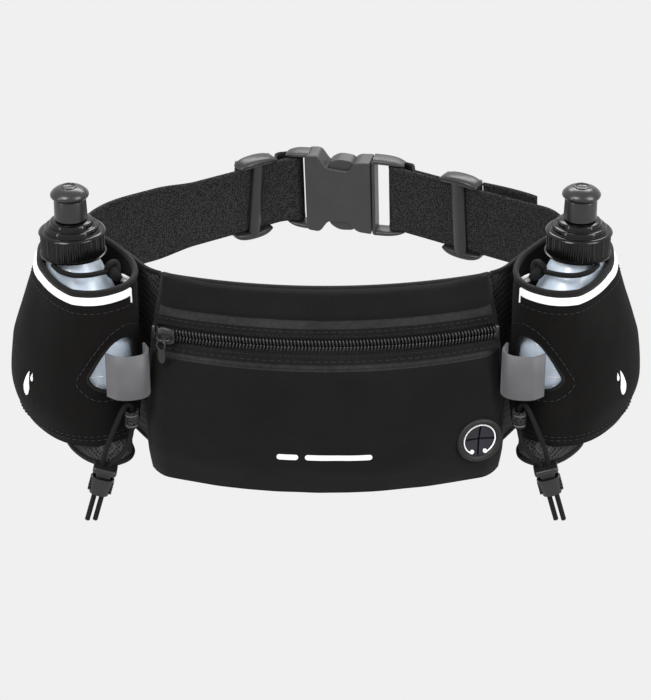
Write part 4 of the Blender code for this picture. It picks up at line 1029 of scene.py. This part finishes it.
def make_port():
    place = port_place()
    rim = [(PORT_RADIUS - 0.0030, -0.0028), (PORT_RADIUS - 0.0030, 0.0006),
           (PORT_RADIUS + 0.0002, 0.0008), (PORT_RADIUS + 0.0004, 0.0016),
           (PORT_RADIUS - 0.0001, 0.0025), (PORT_RADIUS - 0.0010, 0.0029),
           (PORT_RADIUS - 0.0019, 0.0025), (PORT_RADIUS - 0.0023, 0.0016),
           (PORT_RADIUS - 0.0026, 0.0010), (PORT_RADIUS - 0.0026, -0.0028)]
    turned("port_rim", rim, "port_rim", "pack", place, ("earphone_port",), 72,
           closed=True, smooth=60)
    wedges = []
    slit = 0.00042
    for quarter in range(4):
        rings = []
        for radius, height in [(slit * 1.5, 0.0003), (0.0020, 0.0004), (0.0046, 0.0007),
                               (PORT_RADIUS - 0.0025, 0.0012)]:
            gap_angle = math.asin(min(1.0, slit / radius))
            ring = [math.pi / 2 * quarter + gap_angle + (math.pi / 2 - 2 * gap_angle) * k / 12
                    for k in range(13)]
            rings.append([place @ polar(radius, a, height) for a in ring]
                         + [place @ polar(radius, a, height - 0.0012) for a in ring[::-1]])
        wedges.append(rings)
    many_lofts("port_flaps", wedges, "rubber", "pack")
    under = [(PORT_RADIUS - 0.0028, -0.0024), (PORT_RADIUS - 0.0028, -0.0018)]
    turned("port_back", under, "port_rim", "pack", place, (), 40)
    mark = []
    ring_radius = 0.0074
    start, end = math.radians(-62), math.radians(242)
    arc = [place @ polar(ring_radius, a, 0.00145) for a in spread(start, end, 70)]
    mark.append(tube_rings(arc, 0.00036, 8))
    for a in (start, end):
        blob = [place @ polar(ring_radius - d, a, 0.0014)
                for d in (-0.0004, 0.0, 0.0006, 0.0013, 0.0018)]
        mark.append(tube_rings(blob, [0.0004, 0.0009, 0.0010, 0.0009, 0.0004], 12))
    many_lofts("port_earphone_mark", mark, "print", "pack")


# ---------------------------------------------------------------- mark on the pouch
def make_pouch_mark():
    """Plain raised bars, which stand for a printed mark."""
    lofts = []
    for x0, x1, z, half in ((-0.0215, -0.0120, -0.0350, 0.0013), (-0.0090, 0.0205, -0.0350, 0.0013)):
        rings = []
        for x in [(x0 + x1) / 2 + (x1 - x0) / 2 * math.sin(t)
                  for t in spread(-math.pi / 2, math.pi / 2, 40)]:
            edge = min(1.0, math.sqrt(max(0.0, 1 - (max(0.0, half - min(x - x0, x1 - x)) / half) ** 2)))
            tall = max(half * edge, half * 0.12)
            rings.append(skin_patch(x / (FRONT_RADIUS + 0.03), z - tall, z + tall))
        lofts.append(rings)
    many_lofts("pouch_print", lofts, "print", "pack")


# ---------------------------------------------------------------- sleeves
def bottle_place(side):
    return (Matrix.Translation((side * BOTTLE_AXIS[0], BOTTLE_AXIS[1], 0))
            @ Matrix.Rotation(side * BOTTLE_LEAN, 4, "Y")
            @ Matrix.Rotation(side * BOTTLE_TURN, 4, "Z")
            @ Matrix.Translation((0, 0, BOTTLE_BASE_Z)))


def way_round(side, angle):
    """Angle round the sleeve counted from its pouch side, the same for both sides."""
    return angle if side < 0 else math.pi - angle


def sleeve_share(turn, height):
    """The sleeve's outer side bulges low down and is drawn in towards the mouth."""
    outer = max(0.0, math.cos(turn - OUTER_WAY))
    rise = max(0.0, (height - DRAW_START) / DRAW_LENGTH)
    mouth = 1 - MOUTH_DRAW * outer * rise ** 1.35
    bulge = 1 + BULGE * outer * math.exp(-((height - BULGE_HEIGHT) / BULGE_REACH) ** 2)
    return mouth * bulge * (0.86 + 0.14 * math.sqrt(blend(-0.008, 0.012, height)))


def sleeve_ends(turn):
    """Heights of the hem and the mouth at one angle."""
    hem = SLEEVE_HEM - HEM_DIP * math.cos(turn - FRONT_WAY)
    return hem, SLEEVE_MOUTH - MOUTH_RISE * math.cos(turn)


def sleeve_at(side, turn, height, inset=0.0):
    """A place on the sleeve: angle from its pouch side, height above the bottle's base."""
    share = sleeve_share(turn, height)
    return bottle_place(side) @ squircle(SLEEVE_HALF_WIDTH * share - inset,
                                         SLEEVE_HALF_DEPTH * share - inset,
                                         way_round(side, turn), height)


def outward(side, turn, height):
    """Direction out of the sleeve, in plan."""
    step = 0.02
    along = sleeve_at(side, turn + step, height) - sleeve_at(side, turn - step, height)
    away = Vector((along.y, -along.x, 0)).normalized()
    centre = bottle_place(side) @ Vector((0, 0, height))
    return away if away.dot(sleeve_at(side, turn, height) - centre) > 0 else -away


def window_outline(side, grow, inset):
    """The window's smooth closed outline, grown about its middle by a share.

    The curve is drawn past its first point and then cut where it meets that point again.
    """
    corners = [Vector((degrees, height * 1000, 0)) for degrees, height in WINDOW]
    middle = sum(corners, Vector()) / len(corners)
    points = [middle + (corner - middle) * grow for corner in corners]
    line = smooth_line(points[-1:] + points + points[:2], 1.2)
    gaps = [(p - points[0]).length for p in line]
    start = gaps.index(min(gaps))
    rest = line[start:]
    gaps = [(p - points[0]).length for p in rest[4:]]
    line = rest[:4 + gaps.index(min(gaps))]
    return [sleeve_at(side, math.radians(p.x), p.y / 1000, inset) for p in line]


def sleeve_skin(side, turn, height, out=0.0):
    """A place on the sleeve's outer face with its soft folds and rolled hem."""
    hem, mouth = sleeve_ends(turn)
    t = (height - hem) / (mouth - hem)
    point = sleeve_at(side, turn, height)
    calm = blend(0.0, 0.12, t) * blend(0.0, 0.12, 1 - t)
    fold = noise.noise(Vector((point.x * 30, point.y * 30, point.z * 18 + side)))
    fine = noise.noise(Vector((point.x * 95, point.y * 95, point.z * 60 - side)))
    hem_roll = 0.0005 * math.exp(-((t - 0.045) / 0.014) ** 2)
    return point + outward(side, turn, height) * (
        calm * (0.0009 * fold + 0.00025 * fine) + hem_roll + out)


def closed_tube(line, radius, sides):
    return tube_rings(line + line[:1], radius, sides)[:-1]


def make_sleeve(side, name):
    """One stretched cloth tube with a window, a sewn hem and rows of stitches."""
    rows = 60
    turns = circle(128)
    rings = []
    for inner in (False, True):
        for t in spread(0, 1, rows)[::-1 if inner else 1]:
            ring = []
            for turn in turns:
                hem, mouth = sleeve_ends(turn)
                height = hem + (mouth - hem) * t
                ring.append(sleeve_at(side, turn, height, SLEEVE_WALL) if inner
                            else sleeve_skin(side, turn, height))
            rings.append(ring)
    sleeve = loft("sleeve_" + name, rings, "neoprene", "pack",
                  ("bottle_sleeve_" + name, "sleeve_cuff_" + name), closed=True, smooth=60)
    tool = loft("window_cutter", [window_outline(side, 1.0, -0.004),
                                  window_outline(side, 1.0, 0.004)], "neoprene", None)
    cut(sleeve, tool)
    edge = window_outline(side, 1.0, SLEEVE_WALL / 2)
    loft("sleeve_window_edge_" + name, closed_tube(edge, 0.00085, 8), "binding", "pack",
         closed=True)
    sewn = window_outline(side, 1.42, -0.0003)
    sewn = smooth_line(sewn + sewn[:1], 0.0004)
    centre = bottle_place(side) @ Vector((0, 0, 0.03))
    normals = [Vector((p.x - centre.x, p.y - centre.y, 0)).normalized() for p in sewn]
    stitches("sleeve_window_stitches_" + name, sewn, normals, "thread", "pack",
             0.0019, 0.0010, 0.00018)
    for row, (from_hem, from_mouth) in enumerate(((0.0040, None), (0.0058, None), (None, 0.0082))):
        line, normals = [], []
        for degrees in spread(-196, 24, 700):
            turn = math.radians(degrees)
            hem, mouth = sleeve_ends(turn)
            height = mouth - from_mouth if from_hem is None else hem + from_hem
            normals.append(outward(side, turn, height))
            line.append(sleeve_skin(side, turn, height))
        stitches(f"sleeve_stitches_{row}_{name}", line, normals, "thread", "pack",
                 0.0019, 0.0010, 0.00016)


def make_sleeve_trim(side, name):
    """Round mouth binding, the reflective strip under it and its short white piping."""
    loop = [sleeve_at(side, t, sleeve_ends(t)[1] + 0.0013, SLEEVE_WALL / 2) for t in circle(120)]
    loft("sleeve_mouth_" + name, closed_tube(loop, 0.0014, 12), "binding", "pack",
         ("sleeve_binding_" + name,), closed=True)
    rings = []
    for degrees in spread(-176, 20, 100):
        turn = math.radians(degrees)
        top = sleeve_ends(turn)[1]
        rings.append([sleeve_at(side, turn, top - down, inset) for inset, down in
                      ((-0.0002, 0.0003), (-0.0002, 0.0041), (-0.0007, 0.0039),
                       (-0.0009, 0.0022), (-0.0007, 0.0005))])
    loft("sleeve_reflector_" + name, rings, "reflective", "pack",
         ("reflective_strip_" + name,))
    end = math.radians(20)
    top = sleeve_ends(end)[1]
    piping = [sleeve_at(side, end, top - d, -0.0005) for d in spread(0.0008, 0.0075, 12)]
    loft("sleeve_piping_" + name, tube_rings(piping, 0.0004, 10), "reflective", "pack")


def make_drop_print(side, name):
    """A plain white drop with a small one beside it, on the outer side of the sleeve."""
    lofts = []
    for shift, low, tall, wide, lean in ((0.0, 0.0102, 0.0132, 0.0023, 0.0028),
                                         (0.0044, 0.0192, 0.0042, 0.0009, 0.0006)):
        rings = []
        for t in spread(0.0, 1.0, 26):
            belly = math.sqrt(max(0.0, 1 - (1 - t / 0.36) ** 2)) if t < 0.36 else 1.0
            point = 1.0 if t < 0.36 else (1 - (t - 0.36) / 0.64) ** 0.9
            half = max(wide * belly * point, 0.00012)
            height = low + tall * t
            reach = (sleeve_at(side, DROP_WAY + 0.01, height)
                     - sleeve_at(side, DROP_WAY, height)).length
            turn = DROP_WAY + (shift + lean * t * t) / reach * 0.01
            swing = half / reach * 0.01
            rings.append([sleeve_skin(side, turn + way * swing, height, out) for way, out in
                          ((-1, 0.0001), (1, 0.0001), (1, 0.0003), (-1, 0.0003))])
        lofts.append(rings)
    many_lofts("sleeve_print_" + name, lofts, "print", "pack")


def make_bottle_rest(side, name):
    """Mesh sling under the bottle with bound edges."""
    place = bottle_place(side) @ Matrix.Translation((-side * REST_SHIFT, 0, 0))
    half_width, half_depth = REST_HALF
    wall, soft = REST_WALL, 0.0004
    rings = []
    tuck = REST_TOP + 0.0062
    for inset, height in ((0.0070, tuck), (0.0046, tuck - 0.0025), (0.0010, REST_TOP),
                          (0.0, REST_TOP - 0.002), (0.0, REST_LOW + 0.002),
                          (soft, REST_LOW), (wall - soft, REST_LOW), (wall, REST_LOW + 0.002),
                          (wall, REST_TOP - 0.002), (0.0010 + wall, REST_TOP),
                          (0.0046 + wall, tuck - 0.0025), (0.0070 + 0.5 * wall, tuck)):
        rings.append([place @ p for p in oval(half_width - inset, half_depth - inset * 0.7,
                                              height, 90)])
    loft("bottle_sling_" + name, rings, "mesh_fabric", "pack",
         ("bottle_rest_" + name,), closed=True, smooth=60)
    loop = [place @ p for p in oval(half_width - 0.0006, half_depth - 0.0006, REST_LOW + 0.0008, 90)]
    loft("bottle_sling_edge_" + name, closed_tube(loop, 0.0016, 10), "binding", "pack",
         closed=True)


# ---------------------------------------------------------------- bottles
def bottle_ring(height, inset=0.0):
    if height <= BODY_TOP:
        share = 0.66 + 0.34 * math.sqrt(blend(-0.001, 0.014, height))
        return oval(BOTTLE_HALF_WIDTH * share - inset, BOTTLE_HALF_DEPTH * share - inset, height)
    t = min(1.0, (height - BODY_TOP) / (SHOULDER_TOP - BODY_TOP))
    narrow = t ** 1.35
    width = BOTTLE_HALF_WIDTH + (NECK_RADIUS - BOTTLE_HALF_WIDTH) * narrow
    depth = BOTTLE_HALF_DEPTH + (NECK_RADIUS - BOTTLE_HALF_DEPTH) * narrow
    return oval(width - inset, depth - inset, height, power=2.3 - 0.3 * t)


def make_bottle(side, name):
    place = bottle_place(side)
    shoulder = spread(BODY_TOP, SHOULDER_TOP, 20)
    body = spread(0.015, BODY_TOP, 8)[:-1]
    base = [0.0, 0.0004, 0.0012, 0.0025, 0.0045, 0.007, 0.010]
    outside = base + body + shoulder + [0.078, NECK_TOP]
    inside = [NECK_TOP, 0.078] + shoulder[::-1] + body[::-1] + base[:2:-1] + [BOTTLE_WALL]
    rings = [bottle_ring(h) for h in outside] + [bottle_ring(h, BOTTLE_WALL) for h in inside]
    loft("flask_" + name, [[place @ p for p in ring] for ring in rings], "bottle_plastic",
         "bottle_" + name, ("bottle_" + name,), smooth=60)
    marks = []
    for k in range(9):
        height = 0.010 + 0.0045 * k
        reach = 0.10 if k % 2 else 0.20
        middle = -0.42 if side < 0 else math.pi + 0.42
        line = [place @ squircle(BOTTLE_HALF_WIDTH + 0.0001, BOTTLE_HALF_DEPTH + 0.0001, a, height)
                for a in spread(middle - reach, middle + reach, 8)]
        marks.append(tube_rings(line, 0.00018, 6))
    many_lofts("flask_scale_" + name, marks, "print", "bottle_" + name)
    make_cap(side, name, place)


def make_cap(side, name, place):
    neck = NECK_RADIUS + GAP
    low, high = CAP_BASE, CAP_SKIRT_TOP

    def ribs(radius, height, angle):
        if radius > CAP_RADIUS - 0.0009 and low + 0.0008 < height < high - 0.0010:
            return radius - 0.0006 - 0.00030 * (0.5 + 0.5 * math.cos(84 * angle)) ** 0.6
        return radius

    skirt = [(neck, low), (CAP_RADIUS - 0.0006, low), (CAP_RADIUS - 0.0001, low + 0.0003),
             (CAP_RADIUS, low + 0.0008), (CAP_RADIUS, low + 0.0011), (CAP_RADIUS, high - 0.0013),
             (CAP_RADIUS, high - 0.0010), (CAP_RADIUS - 0.0003, high - 0.0005),
             (CAP_RADIUS - 0.0009, high - 0.0001), (CAP_RADIUS - 0.0016, high),
             (0.0124, high - 0.0002), (0.0119, high + 0.0002), (0.0118, high + 0.0016),
             (0.0115, high + 0.0021), (0.0109, high + 0.0023), (0.0102, high + 0.0021),
             (0.0097, high + 0.0024), (0.0096, CAP_TOP + 0.0002), (0.0093, CAP_TOP + 0.0008),
             (0.0088, CAP_TOP + 0.0011), (CAP_BORE, CAP_TOP + 0.0012), (CAP_BORE, high - 0.0018),
             (neck, high - 0.0018)]
    turned("flask_cap_" + name, skirt, "cap_plastic", "cap_" + name, place,
           ("bottle_cap_" + name,), 288, closed=True, smooth=30, ripple=ribs)
    stem = CAP_TOP + 0.0016
    spout = [(CAP_BORE - GAP, high - 0.0010), (CAP_BORE - GAP, stem), (STEM_RADIUS - 0.0003, stem),
             (STEM_RADIUS, stem + 0.0003), (STEM_RADIUS - 0.0002, SPOUT_TOP - 0.0068),
             (STEM_RADIUS - 0.0004, SPOUT_TOP - 0.0060), (STEM_RADIUS + 0.0002, SPOUT_TOP - 0.0054),
             (HEAD_RADIUS - 0.0003, SPOUT_TOP - 0.0049), (HEAD_RADIUS, SPOUT_TOP - 0.0042),
             (HEAD_RADIUS - 0.0001, SPOUT_TOP - 0.0034), (HEAD_RADIUS - 0.0009, SPOUT_TOP - 0.0024),
             (0.0062, SPOUT_TOP - 0.0013), (0.0046, SPOUT_TOP - 0.0007), (0.0036, SPOUT_TOP - 0.0005),
             (0.0034, SPOUT_TOP), (0.0029, SPOUT_TOP + 0.0001), (0.0026, SPOUT_TOP - 0.0003),
             (0.0018, SPOUT_TOP - 0.0006), (0.0006, SPOUT_TOP - 0.0006)]
    turned("flask_spout_" + name, spout, "spout_plastic", "spout_" + name, place,
           ("spout_" + name,), 72, smooth=35)
    turned("flask_seal_" + name, [
        (NECK_RADIUS - 0.0004, NECK_TOP + GAP), (NECK_RADIUS - 0.0004, NECK_TOP + 0.0018),
        (CAP_BORE + 0.0006, NECK_TOP + 0.0018), (CAP_BORE + 0.0006, NECK_TOP + GAP)],
        "rubber", "seal_" + name, place, ("cap_seal_" + name,), 48, closed=True)


def make_retainer(side, name):
    """Elastic over the shoulder, its knotted tab and two silvery lace tips."""
    line = smooth_line(mirrored(RETAINER_ROUTE, side), 0.001)
    cord = loft("shoulder_elastic_" + name, tube_rings(line, 0.0012, 12), "cord", "pack",
                ("retention_cord_" + name,))
    knot = []
    centre = Vector((side * 0.0938, -0.0866, 0.0366))
    turn = []
    for k in range(33):
        a = 2 * math.pi * k / 32
        turn.append(centre + Vector((side * 0.0022 * math.cos(a), -0.0012 * math.sin(2 * a),
                                     0.0032 * math.sin(a))))
    knot.append(tube_rings(turn, 0.0016, 10))
    arm = smooth_line(mirrored([(0.0940, -0.0868, 0.0380), (0.0926, -0.0884, 0.0352),
                                (0.0902, -0.0890, 0.0330)], side), 0.0006)
    knot.append(tube_rings(arm, [0.0024 - 0.0010 * abs(2 * i / (len(arm) - 1) - 1) ** 2
                                 for i in range(len(arm))], 10))
    tied = many_lofts("shoulder_knot_" + name, knot, "cord", "pack")
    tips = []
    for lift in (0.0, 0.0022):
        tip = smooth_line(mirrored([(0.0900, -0.0878, 0.0322 + lift), (0.0876, -0.0885, 0.0314 + lift),
                                    (0.0852, -0.0890, 0.0306 + lift * 0.8)], side), 0.0008)
        tips.append(tube_rings(tip, 0.00085, 10))
    lace = many_lofts("shoulder_tips_" + name, tips, "silver_tip", "pack",
                      ("retention_tab_" + name,))
    for piece in (cord, tied, lace):
        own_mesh(piece)


# ---------------------------------------------------------------- pads and loops
def make_pad(name, side, stations, thickness, replaced):
    """A padded mesh panel with a bound edge; stations are (s, low z, high z)."""
    across = 30
    rings = []
    for s, low, high in stations:
        ring = []
        for inner in (True, False):
            for t in (spread(0, 1, across) if inner else spread(1, 0, across)):
                crown = math.sqrt(max(0.0, 1 - abs(2 * t - 1) ** 6))
                out = thickness * (0.5 - 0.5 * crown) if inner else thickness * (0.5 + 0.5 * crown)
                if not inner:
                    spot = belt(side, s, 0, low + (high - low) * t)
                    out += 0.0003 * crown * noise.noise(spot * 60)
                ring.append(belt(side, s, out, low + (high - low) * t))
        rings.append(ring)
    pad = loft(name, rings, "mesh_fabric", "pack", replaced, smooth=60)
    edges = []
    for k in (1, 2):
        line = [belt(side, st[0], thickness / 2, st[k]) for st in stations]
        edges.append(tube_rings(line, thickness * 0.42, 10))
    many_lofts(name + "_binding", edges, "binding", "pack")
    for k, way in ((1, 1), (2, -1)):
        dense = [tuple(a + (b - a) * t for a, b in zip(one, two))
                 for one, two in zip(stations, stations[1:]) for t in spread(0, 1, 12)[:-1]]
        line = [belt(side, st[0], thickness + 0.0002, st[k] + way * 0.0034) for st in dense]
        stitches(f"{name}_stitches_{k - 1}", line, [belt_away(side, st[0]) for st in dense],
                 "thread", "pack", 0.0022, 0.0011, 0.00018)


def make_back():
    reach = WING_START - GAP
    stations = [(s, PACK_BOTTOM_Z + 0.0017, PACK_TOP_Z - 0.0017) for s in spread(-reach, reach, 61)]
    make_pad("back_pad", 1, stations, PANEL_THICKNESS, ("back_panel",))


def make_wing(side, name):
    half = WEBBING_WIDTH / 2 + 0.003
    stations = []
    for s in spread(WING_START, WING_END, 40):
        taper = blend(WING_START + 0.022, WING_END - 0.004, s)
        top = PACK_TOP_Z + (half - PACK_TOP_Z) * taper - 0.0011
        low = PACK_BOTTOM_Z + (-half - PACK_BOTTOM_Z) * taper + 0.0011
        stations.append((s, low, top))
    make_pad("hip_wing_" + name, side, stations, WING_THICKNESS, ("wing_" + name,))


def make_gel_loop(side, name):
    line = smooth_line(mirrored(GEL_LOOP_ROUTE, side), 0.0005)
    loft("gel_holder_" + name, flat_strip(line, *GEL_LOOP_Z, 0.0012), "grey_tape", "pack",
         ("gel_loop_" + name,), smooth=60)


# ---------------------------------------------------------------- webbing
def webbing_half(side, s):
    """Half the width of the webbing, which narrows where it enters the adjuster."""
    place = adjuster_s(side)
    return WEBBING_WIDTH / 2 - WEBBING_PINCH * blend(place - 0.060, place - 0.036, s)


def band(name, side, route, paint, body, slot_name, replaced, pinched=True):
    """Elastic band with rounded selvedges; route is (s, out) of its middle."""
    rings = []
    count = len(route)
    thick = WEBBING_THICKNESS / 2
    edge = 0.0016
    for i, (s, out) in enumerate(route):
        before = Vector(route[max(i - 1, 0)])
        after = Vector(route[min(i + 1, count - 1)])
        along = (after - before).normalized()
        way = Vector((-along.y, along.x)) * thick
        half = webbing_half(side, s) if pinched else WEBBING_WIDTH / 2
        shape = [(-half, 0.3), (-half + 0.0003, 0.9), (-half + edge, 1.0),
                 (-half + edge + 0.0005, 0.8), (0.0, 0.86), (half - edge - 0.0005, 0.8),
                 (half - edge, 1.0), (half - 0.0003, 0.9), (half, 0.3)]
        outline = [(z, -t) for z, t in shape] + [(z, t) for z, t in shape[::-1]]
        rings.append([belt(side, s + way.x * t, out + way.y * t, z) for z, t in outline])
    return loft(name, rings, paint, body, replaced, smooth=60)


def dense_route(route, step=0.0012):
    line = smooth_line([Vector((s, out, 0)) for s, out in route], step)
    return [(p.x, p.y) for p in line]


def make_webbing(side, name):
    end_s = BELT[side][-1][0]
    fold = end_s - fold_distance(side)
    layer = WEBBING_THICKNESS
    middle = layer / 2
    rise = BAR_THICKNESS / 2 + GAP + middle + 0.0006
    back = rise * 2 + middle
    route = [(s, middle) for s in spread(WING_END + 0.0015, fold, 60)]
    for k in range(1, 12):
        angle = math.pi * k / 12
        route.append((fold + rise * math.sin(angle), middle + rise * (1 - math.cos(angle))))
    end = adjuster_s(side) - 0.010
    near = middle + layer + GAP
    for s in spread(fold, fold - 0.012, 9) + spread(fold - 0.014, end, 10):
        lift = blend(fold - 0.0110, fold - 0.0058, s)
        route.append((s, near + (back - near) * lift))
    body = "pack" if side < 0 else "plug"
    blended = side > 0
    piece = band("belt_band_" + name, side, dense_route(route), "webbing",
                 None if blended else body, "webbing", ("webbing_" + name,))
    rows = []
    for z in (-1, 1):
        ss = spread(WING_END + 0.004, adjuster_s(side) - 0.013, 700)
        points = [belt(side, s, WEBBING_THICKNESS + 0.00005, z * (webbing_half(side, s) - 0.002))
                  for s in ss]
        normals = [belt_away(side, s) for s in ss]
        rows.append(stitches(f"belt_knit_{'low' if z < 0 else 'high'}_{name}", points, normals,
                             "selvedge", None if blended else body, 0.0013, 0.0009,
                             0.00013))
    if blended:
        for item in [piece] + rows:
            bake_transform(item)


def make_tail():
    s = adjuster_s(1)
    near = WEBBING_THICKNESS * 2.5 + GAP * 2
    route = [(s - ADJUSTER_LENGTH / 2 - 0.0003 - d, near + 0.0012 * math.sin(d / TAIL_LENGTH * 2.5))
             for d in spread(0, TAIL_LENGTH, 24)]
    band("belt_tail", 1, route, "webbing", "plug", "webbing", ("webbing_tail",),
         pinched=False)


# ---------------------------------------------------------------- buckle and adjusters
def rounded_outline(corners):
    """A plan outline with each (x, z, radius) corner rounded."""
    ring = []
    count = len(corners)
    for i, (x, z, radius) in enumerate(corners):
        here = Vector((x, z))
        before = Vector(corners[i - 1][:2]) - here
        after = Vector(corners[(i + 1) % count][:2]) - here
        reach = min(radius, before.length * 0.48, after.length * 0.48)
        start = here + before.normalized() * reach
        end = here + after.normalized() * reach
        for k in range(7):
            t = k / 6
            ring.append(start * (1 - t) ** 2 + here * 2 * t * (1 - t) + end * t * t)
    return ring


def slab(name, corners, low, high, place, paint, body, replaces=(), rim=0.0012):
    """A moulded plate with the given (x, z, radius) corners and softened rims."""
    ring = rounded_outline(corners)
    rings = [[place @ Vector((p.x, y, p.y)) for p in ring] for y in (low, high)]
    item = loft(name, rings, paint, body, replaces, smooth=40)
    mod = item.modifiers.new("edges", "BEVEL")
    mod.width = rim
    mod.segments = 4
    mod.limit_method = "ANGLE"
    mod.angle_limit = math.radians(60)
    mod.use_clamp_overlap = True
    return item


def arched_rail(place, xs, z_of, y_half, y_mid, tall_of):
    """Rings of a rounded rail along x; z_of gives its middle and tall_of its height."""
    rings = []
    for x in xs:
        half = tall_of(x) / 2
        section = oval(y_half(x), half, 0.0, 24, 2.8)
        rings.append([place @ Vector((x, y_mid + p.x, z_of(x) + p.y)) for p in section])
    return rings


def make_adjuster(side, name):
    """Tri-glide: rounded rails above and below, a ridged bar in front and end bars behind."""
    s = adjuster_s(side)
    origin = belt(side, s)
    up = (belt(side, s, 0, 0.01) - origin).normalized()
    away = belt_away(side, s)
    place = Matrix((away.cross(up), away, up)).transposed().to_4x4()
    place.translation = origin
    half = ADJUSTER_LENGTH / 2
    back = 2 * WEBBING_THICKNESS + 2 * GAP
    middle = back / 2
    lofts = []
    for way in (-1, 1):
        rail = arched_rail(
            place, [half * math.sin(t) for t in spread(-math.pi / 2 + 0.05, math.pi / 2 - 0.05, 25)],
            lambda x, way=way: way * (0.0214 - 0.0015 * (x / half) ** 2),
            lambda x: 0.0046 - 0.0014 * (x / half) ** 4, middle - 0.0003,
            lambda x: 0.0044 * math.sqrt(max(0.05, 1 - 0.9 * (x / half) ** 4)))
        lofts.append(rail)
    ridge = [(-0.0036, -0.0006), (-0.0034, -0.0021), (-0.0029, -0.0026), (0.0002, -0.0030),
             (0.0010, -0.0029), (0.0032, -0.0018), (0.0036, -0.0012), (0.0036, -0.0006)]
    lofts.append([[place @ Vector((x, y, z)) for x, y in ridge]
                  for z in spread(-0.0215, 0.0215, 9)])
    for end in (-1, 1):
        bar = [place @ Vector((end * (half - 0.0019), back + 0.0011, z))
               for z in spread(-0.0212, 0.0212, 9)]
        lofts.append(tube_rings(bar, 0.0012, 12))
    many_lofts("belt_slide_" + name, lofts, "slide_plastic", "adjuster_" + name,
               ("strap_adjuster_" + name,), smooth=45)


def make_buckle():
    """Side-release buckle: notched housing, plug with two arms, rails and round bars."""
    place = buckle_place()
    thick, tall = 0.0055, 0.02275
    left, right = -0.0182, 0.0166
    shoulder = [(left, 0.0, 0.0), (left, tall - 0.0006, 0.0022), (-0.0112, tall, 0.0022),
                (-0.0066, 0.0158, 0.0022), (0.0046, 0.0150, 0.0018), (0.0080, 0.0198, 0.0022),
                (0.0104, 0.0208, 0.0022), (right, 0.0212, 0.0010)]
    mirror = [(x, -z, r) for x, z, r in shoulder[:0:-1]]
    slab("buckle_housing", shoulder[1:] + mirror, -thick, thick, place, "buckle_plastic", "pack",
         ("buckle_socket",), 0.0016)
    for name, body, start, end, way in (("socket", "pack", left + 0.0020, SOCKET_END_X, -1),
                                        ("plug", "plug", 0.0176, PLUG_END_X, 1)):
        span = end - start
        lofts = []
        for up in (-1, 1):
            def share(x):
                return min(1.0, max(0.0, (x - start) / span))
            lofts.append(arched_rail(
                place, [start + span * math.sin(t) for t in spread(0.0, math.pi / 2, 18)],
                lambda x, up=up: up * (0.0212 - 0.0016 * share(x) ** 3),
                lambda x: 0.0044 - 0.0016 * share(x) ** 4, 0.0,
                lambda x: 0.0031 * math.sqrt(max(0.08, 1 - 0.9 * share(x) ** 4))))
        bar_x = end - way * BAR_WIDTH / 2
        lofts.append(tube_rings([place @ Vector((bar_x, 0, z)) for z in spread(-0.0206, 0.0206, 7)],
                                BAR_THICKNESS / 2 - 0.0002, 14))
        many_lofts(f"buckle_{name}_frame", lofts, "buckle_plastic", body,
                   smooth=45)
    base = [(0.0170, 0.0214, 0.0006), (0.0187, 0.0214, 0.0010), (0.0187, -0.0214, 0.0010),
            (0.0170, -0.0214, 0.0006)]
    slab("buckle_plug_plate", base, -thick + 0.0008, thick - 0.0008, place, "buckle_plastic",
         "plug", ("buckle_plug",), 0.0006)
    slab("buckle_tongue", [(-0.0120, 0.0040, 0.001), (0.0176, 0.0040, 0.001),
                           (0.0176, -0.0040, 0.001), (-0.0120, -0.0040, 0.001)],
         -0.0018, 0.0018, place, "buckle_plastic", "plug", (), 0.0005)
    for name, up in (("upper", 1), ("lower", -1)):
        arm = [(0.0163, 0.0115, 0.0006), (0.0163, 0.0155, 0.001), (0.0100, 0.0166, 0.0016),
               (0.0064, 0.0205, 0.0016), (-0.0010, 0.0212, 0.0030), (-0.0058, 0.0180, 0.0024),
               (-0.0066, 0.0146, 0.0012), (0.0075, 0.0128, 0.002)]
        slab("buckle_arm_" + name, [(x, up * z, r) for x, z, r in arm[::up]], -0.0040, 0.0040,
             place, "buckle_plastic", "latch_" + name, ("latch_" + name,), 0.0010)


def make_hardware():
    make_buckle()
    for side, name in SIDES.items():
        make_adjuster(side, name)


# ---------------------------------------------------------------- put together
make_camera()
make_light()
make_floor()
for way, side_name in SIDES.items():
    make_bib_cord(way, side_name)
make_pouch()
make_pouch_seams()
make_zip()
make_slider()
make_port()
make_pouch_mark()
make_back()
for way, side_name in SIDES.items():
    make_wing(way, side_name)
    make_sleeve(way, side_name)
    make_sleeve_trim(way, side_name)
    make_drop_print(way, side_name)
    make_bottle_rest(way, side_name)
    make_bottle(way, side_name)
    make_retainer(way, side_name)
    make_gel_loop(way, side_name)
    make_webbing(way, side_name)
make_tail()
make_hardware()
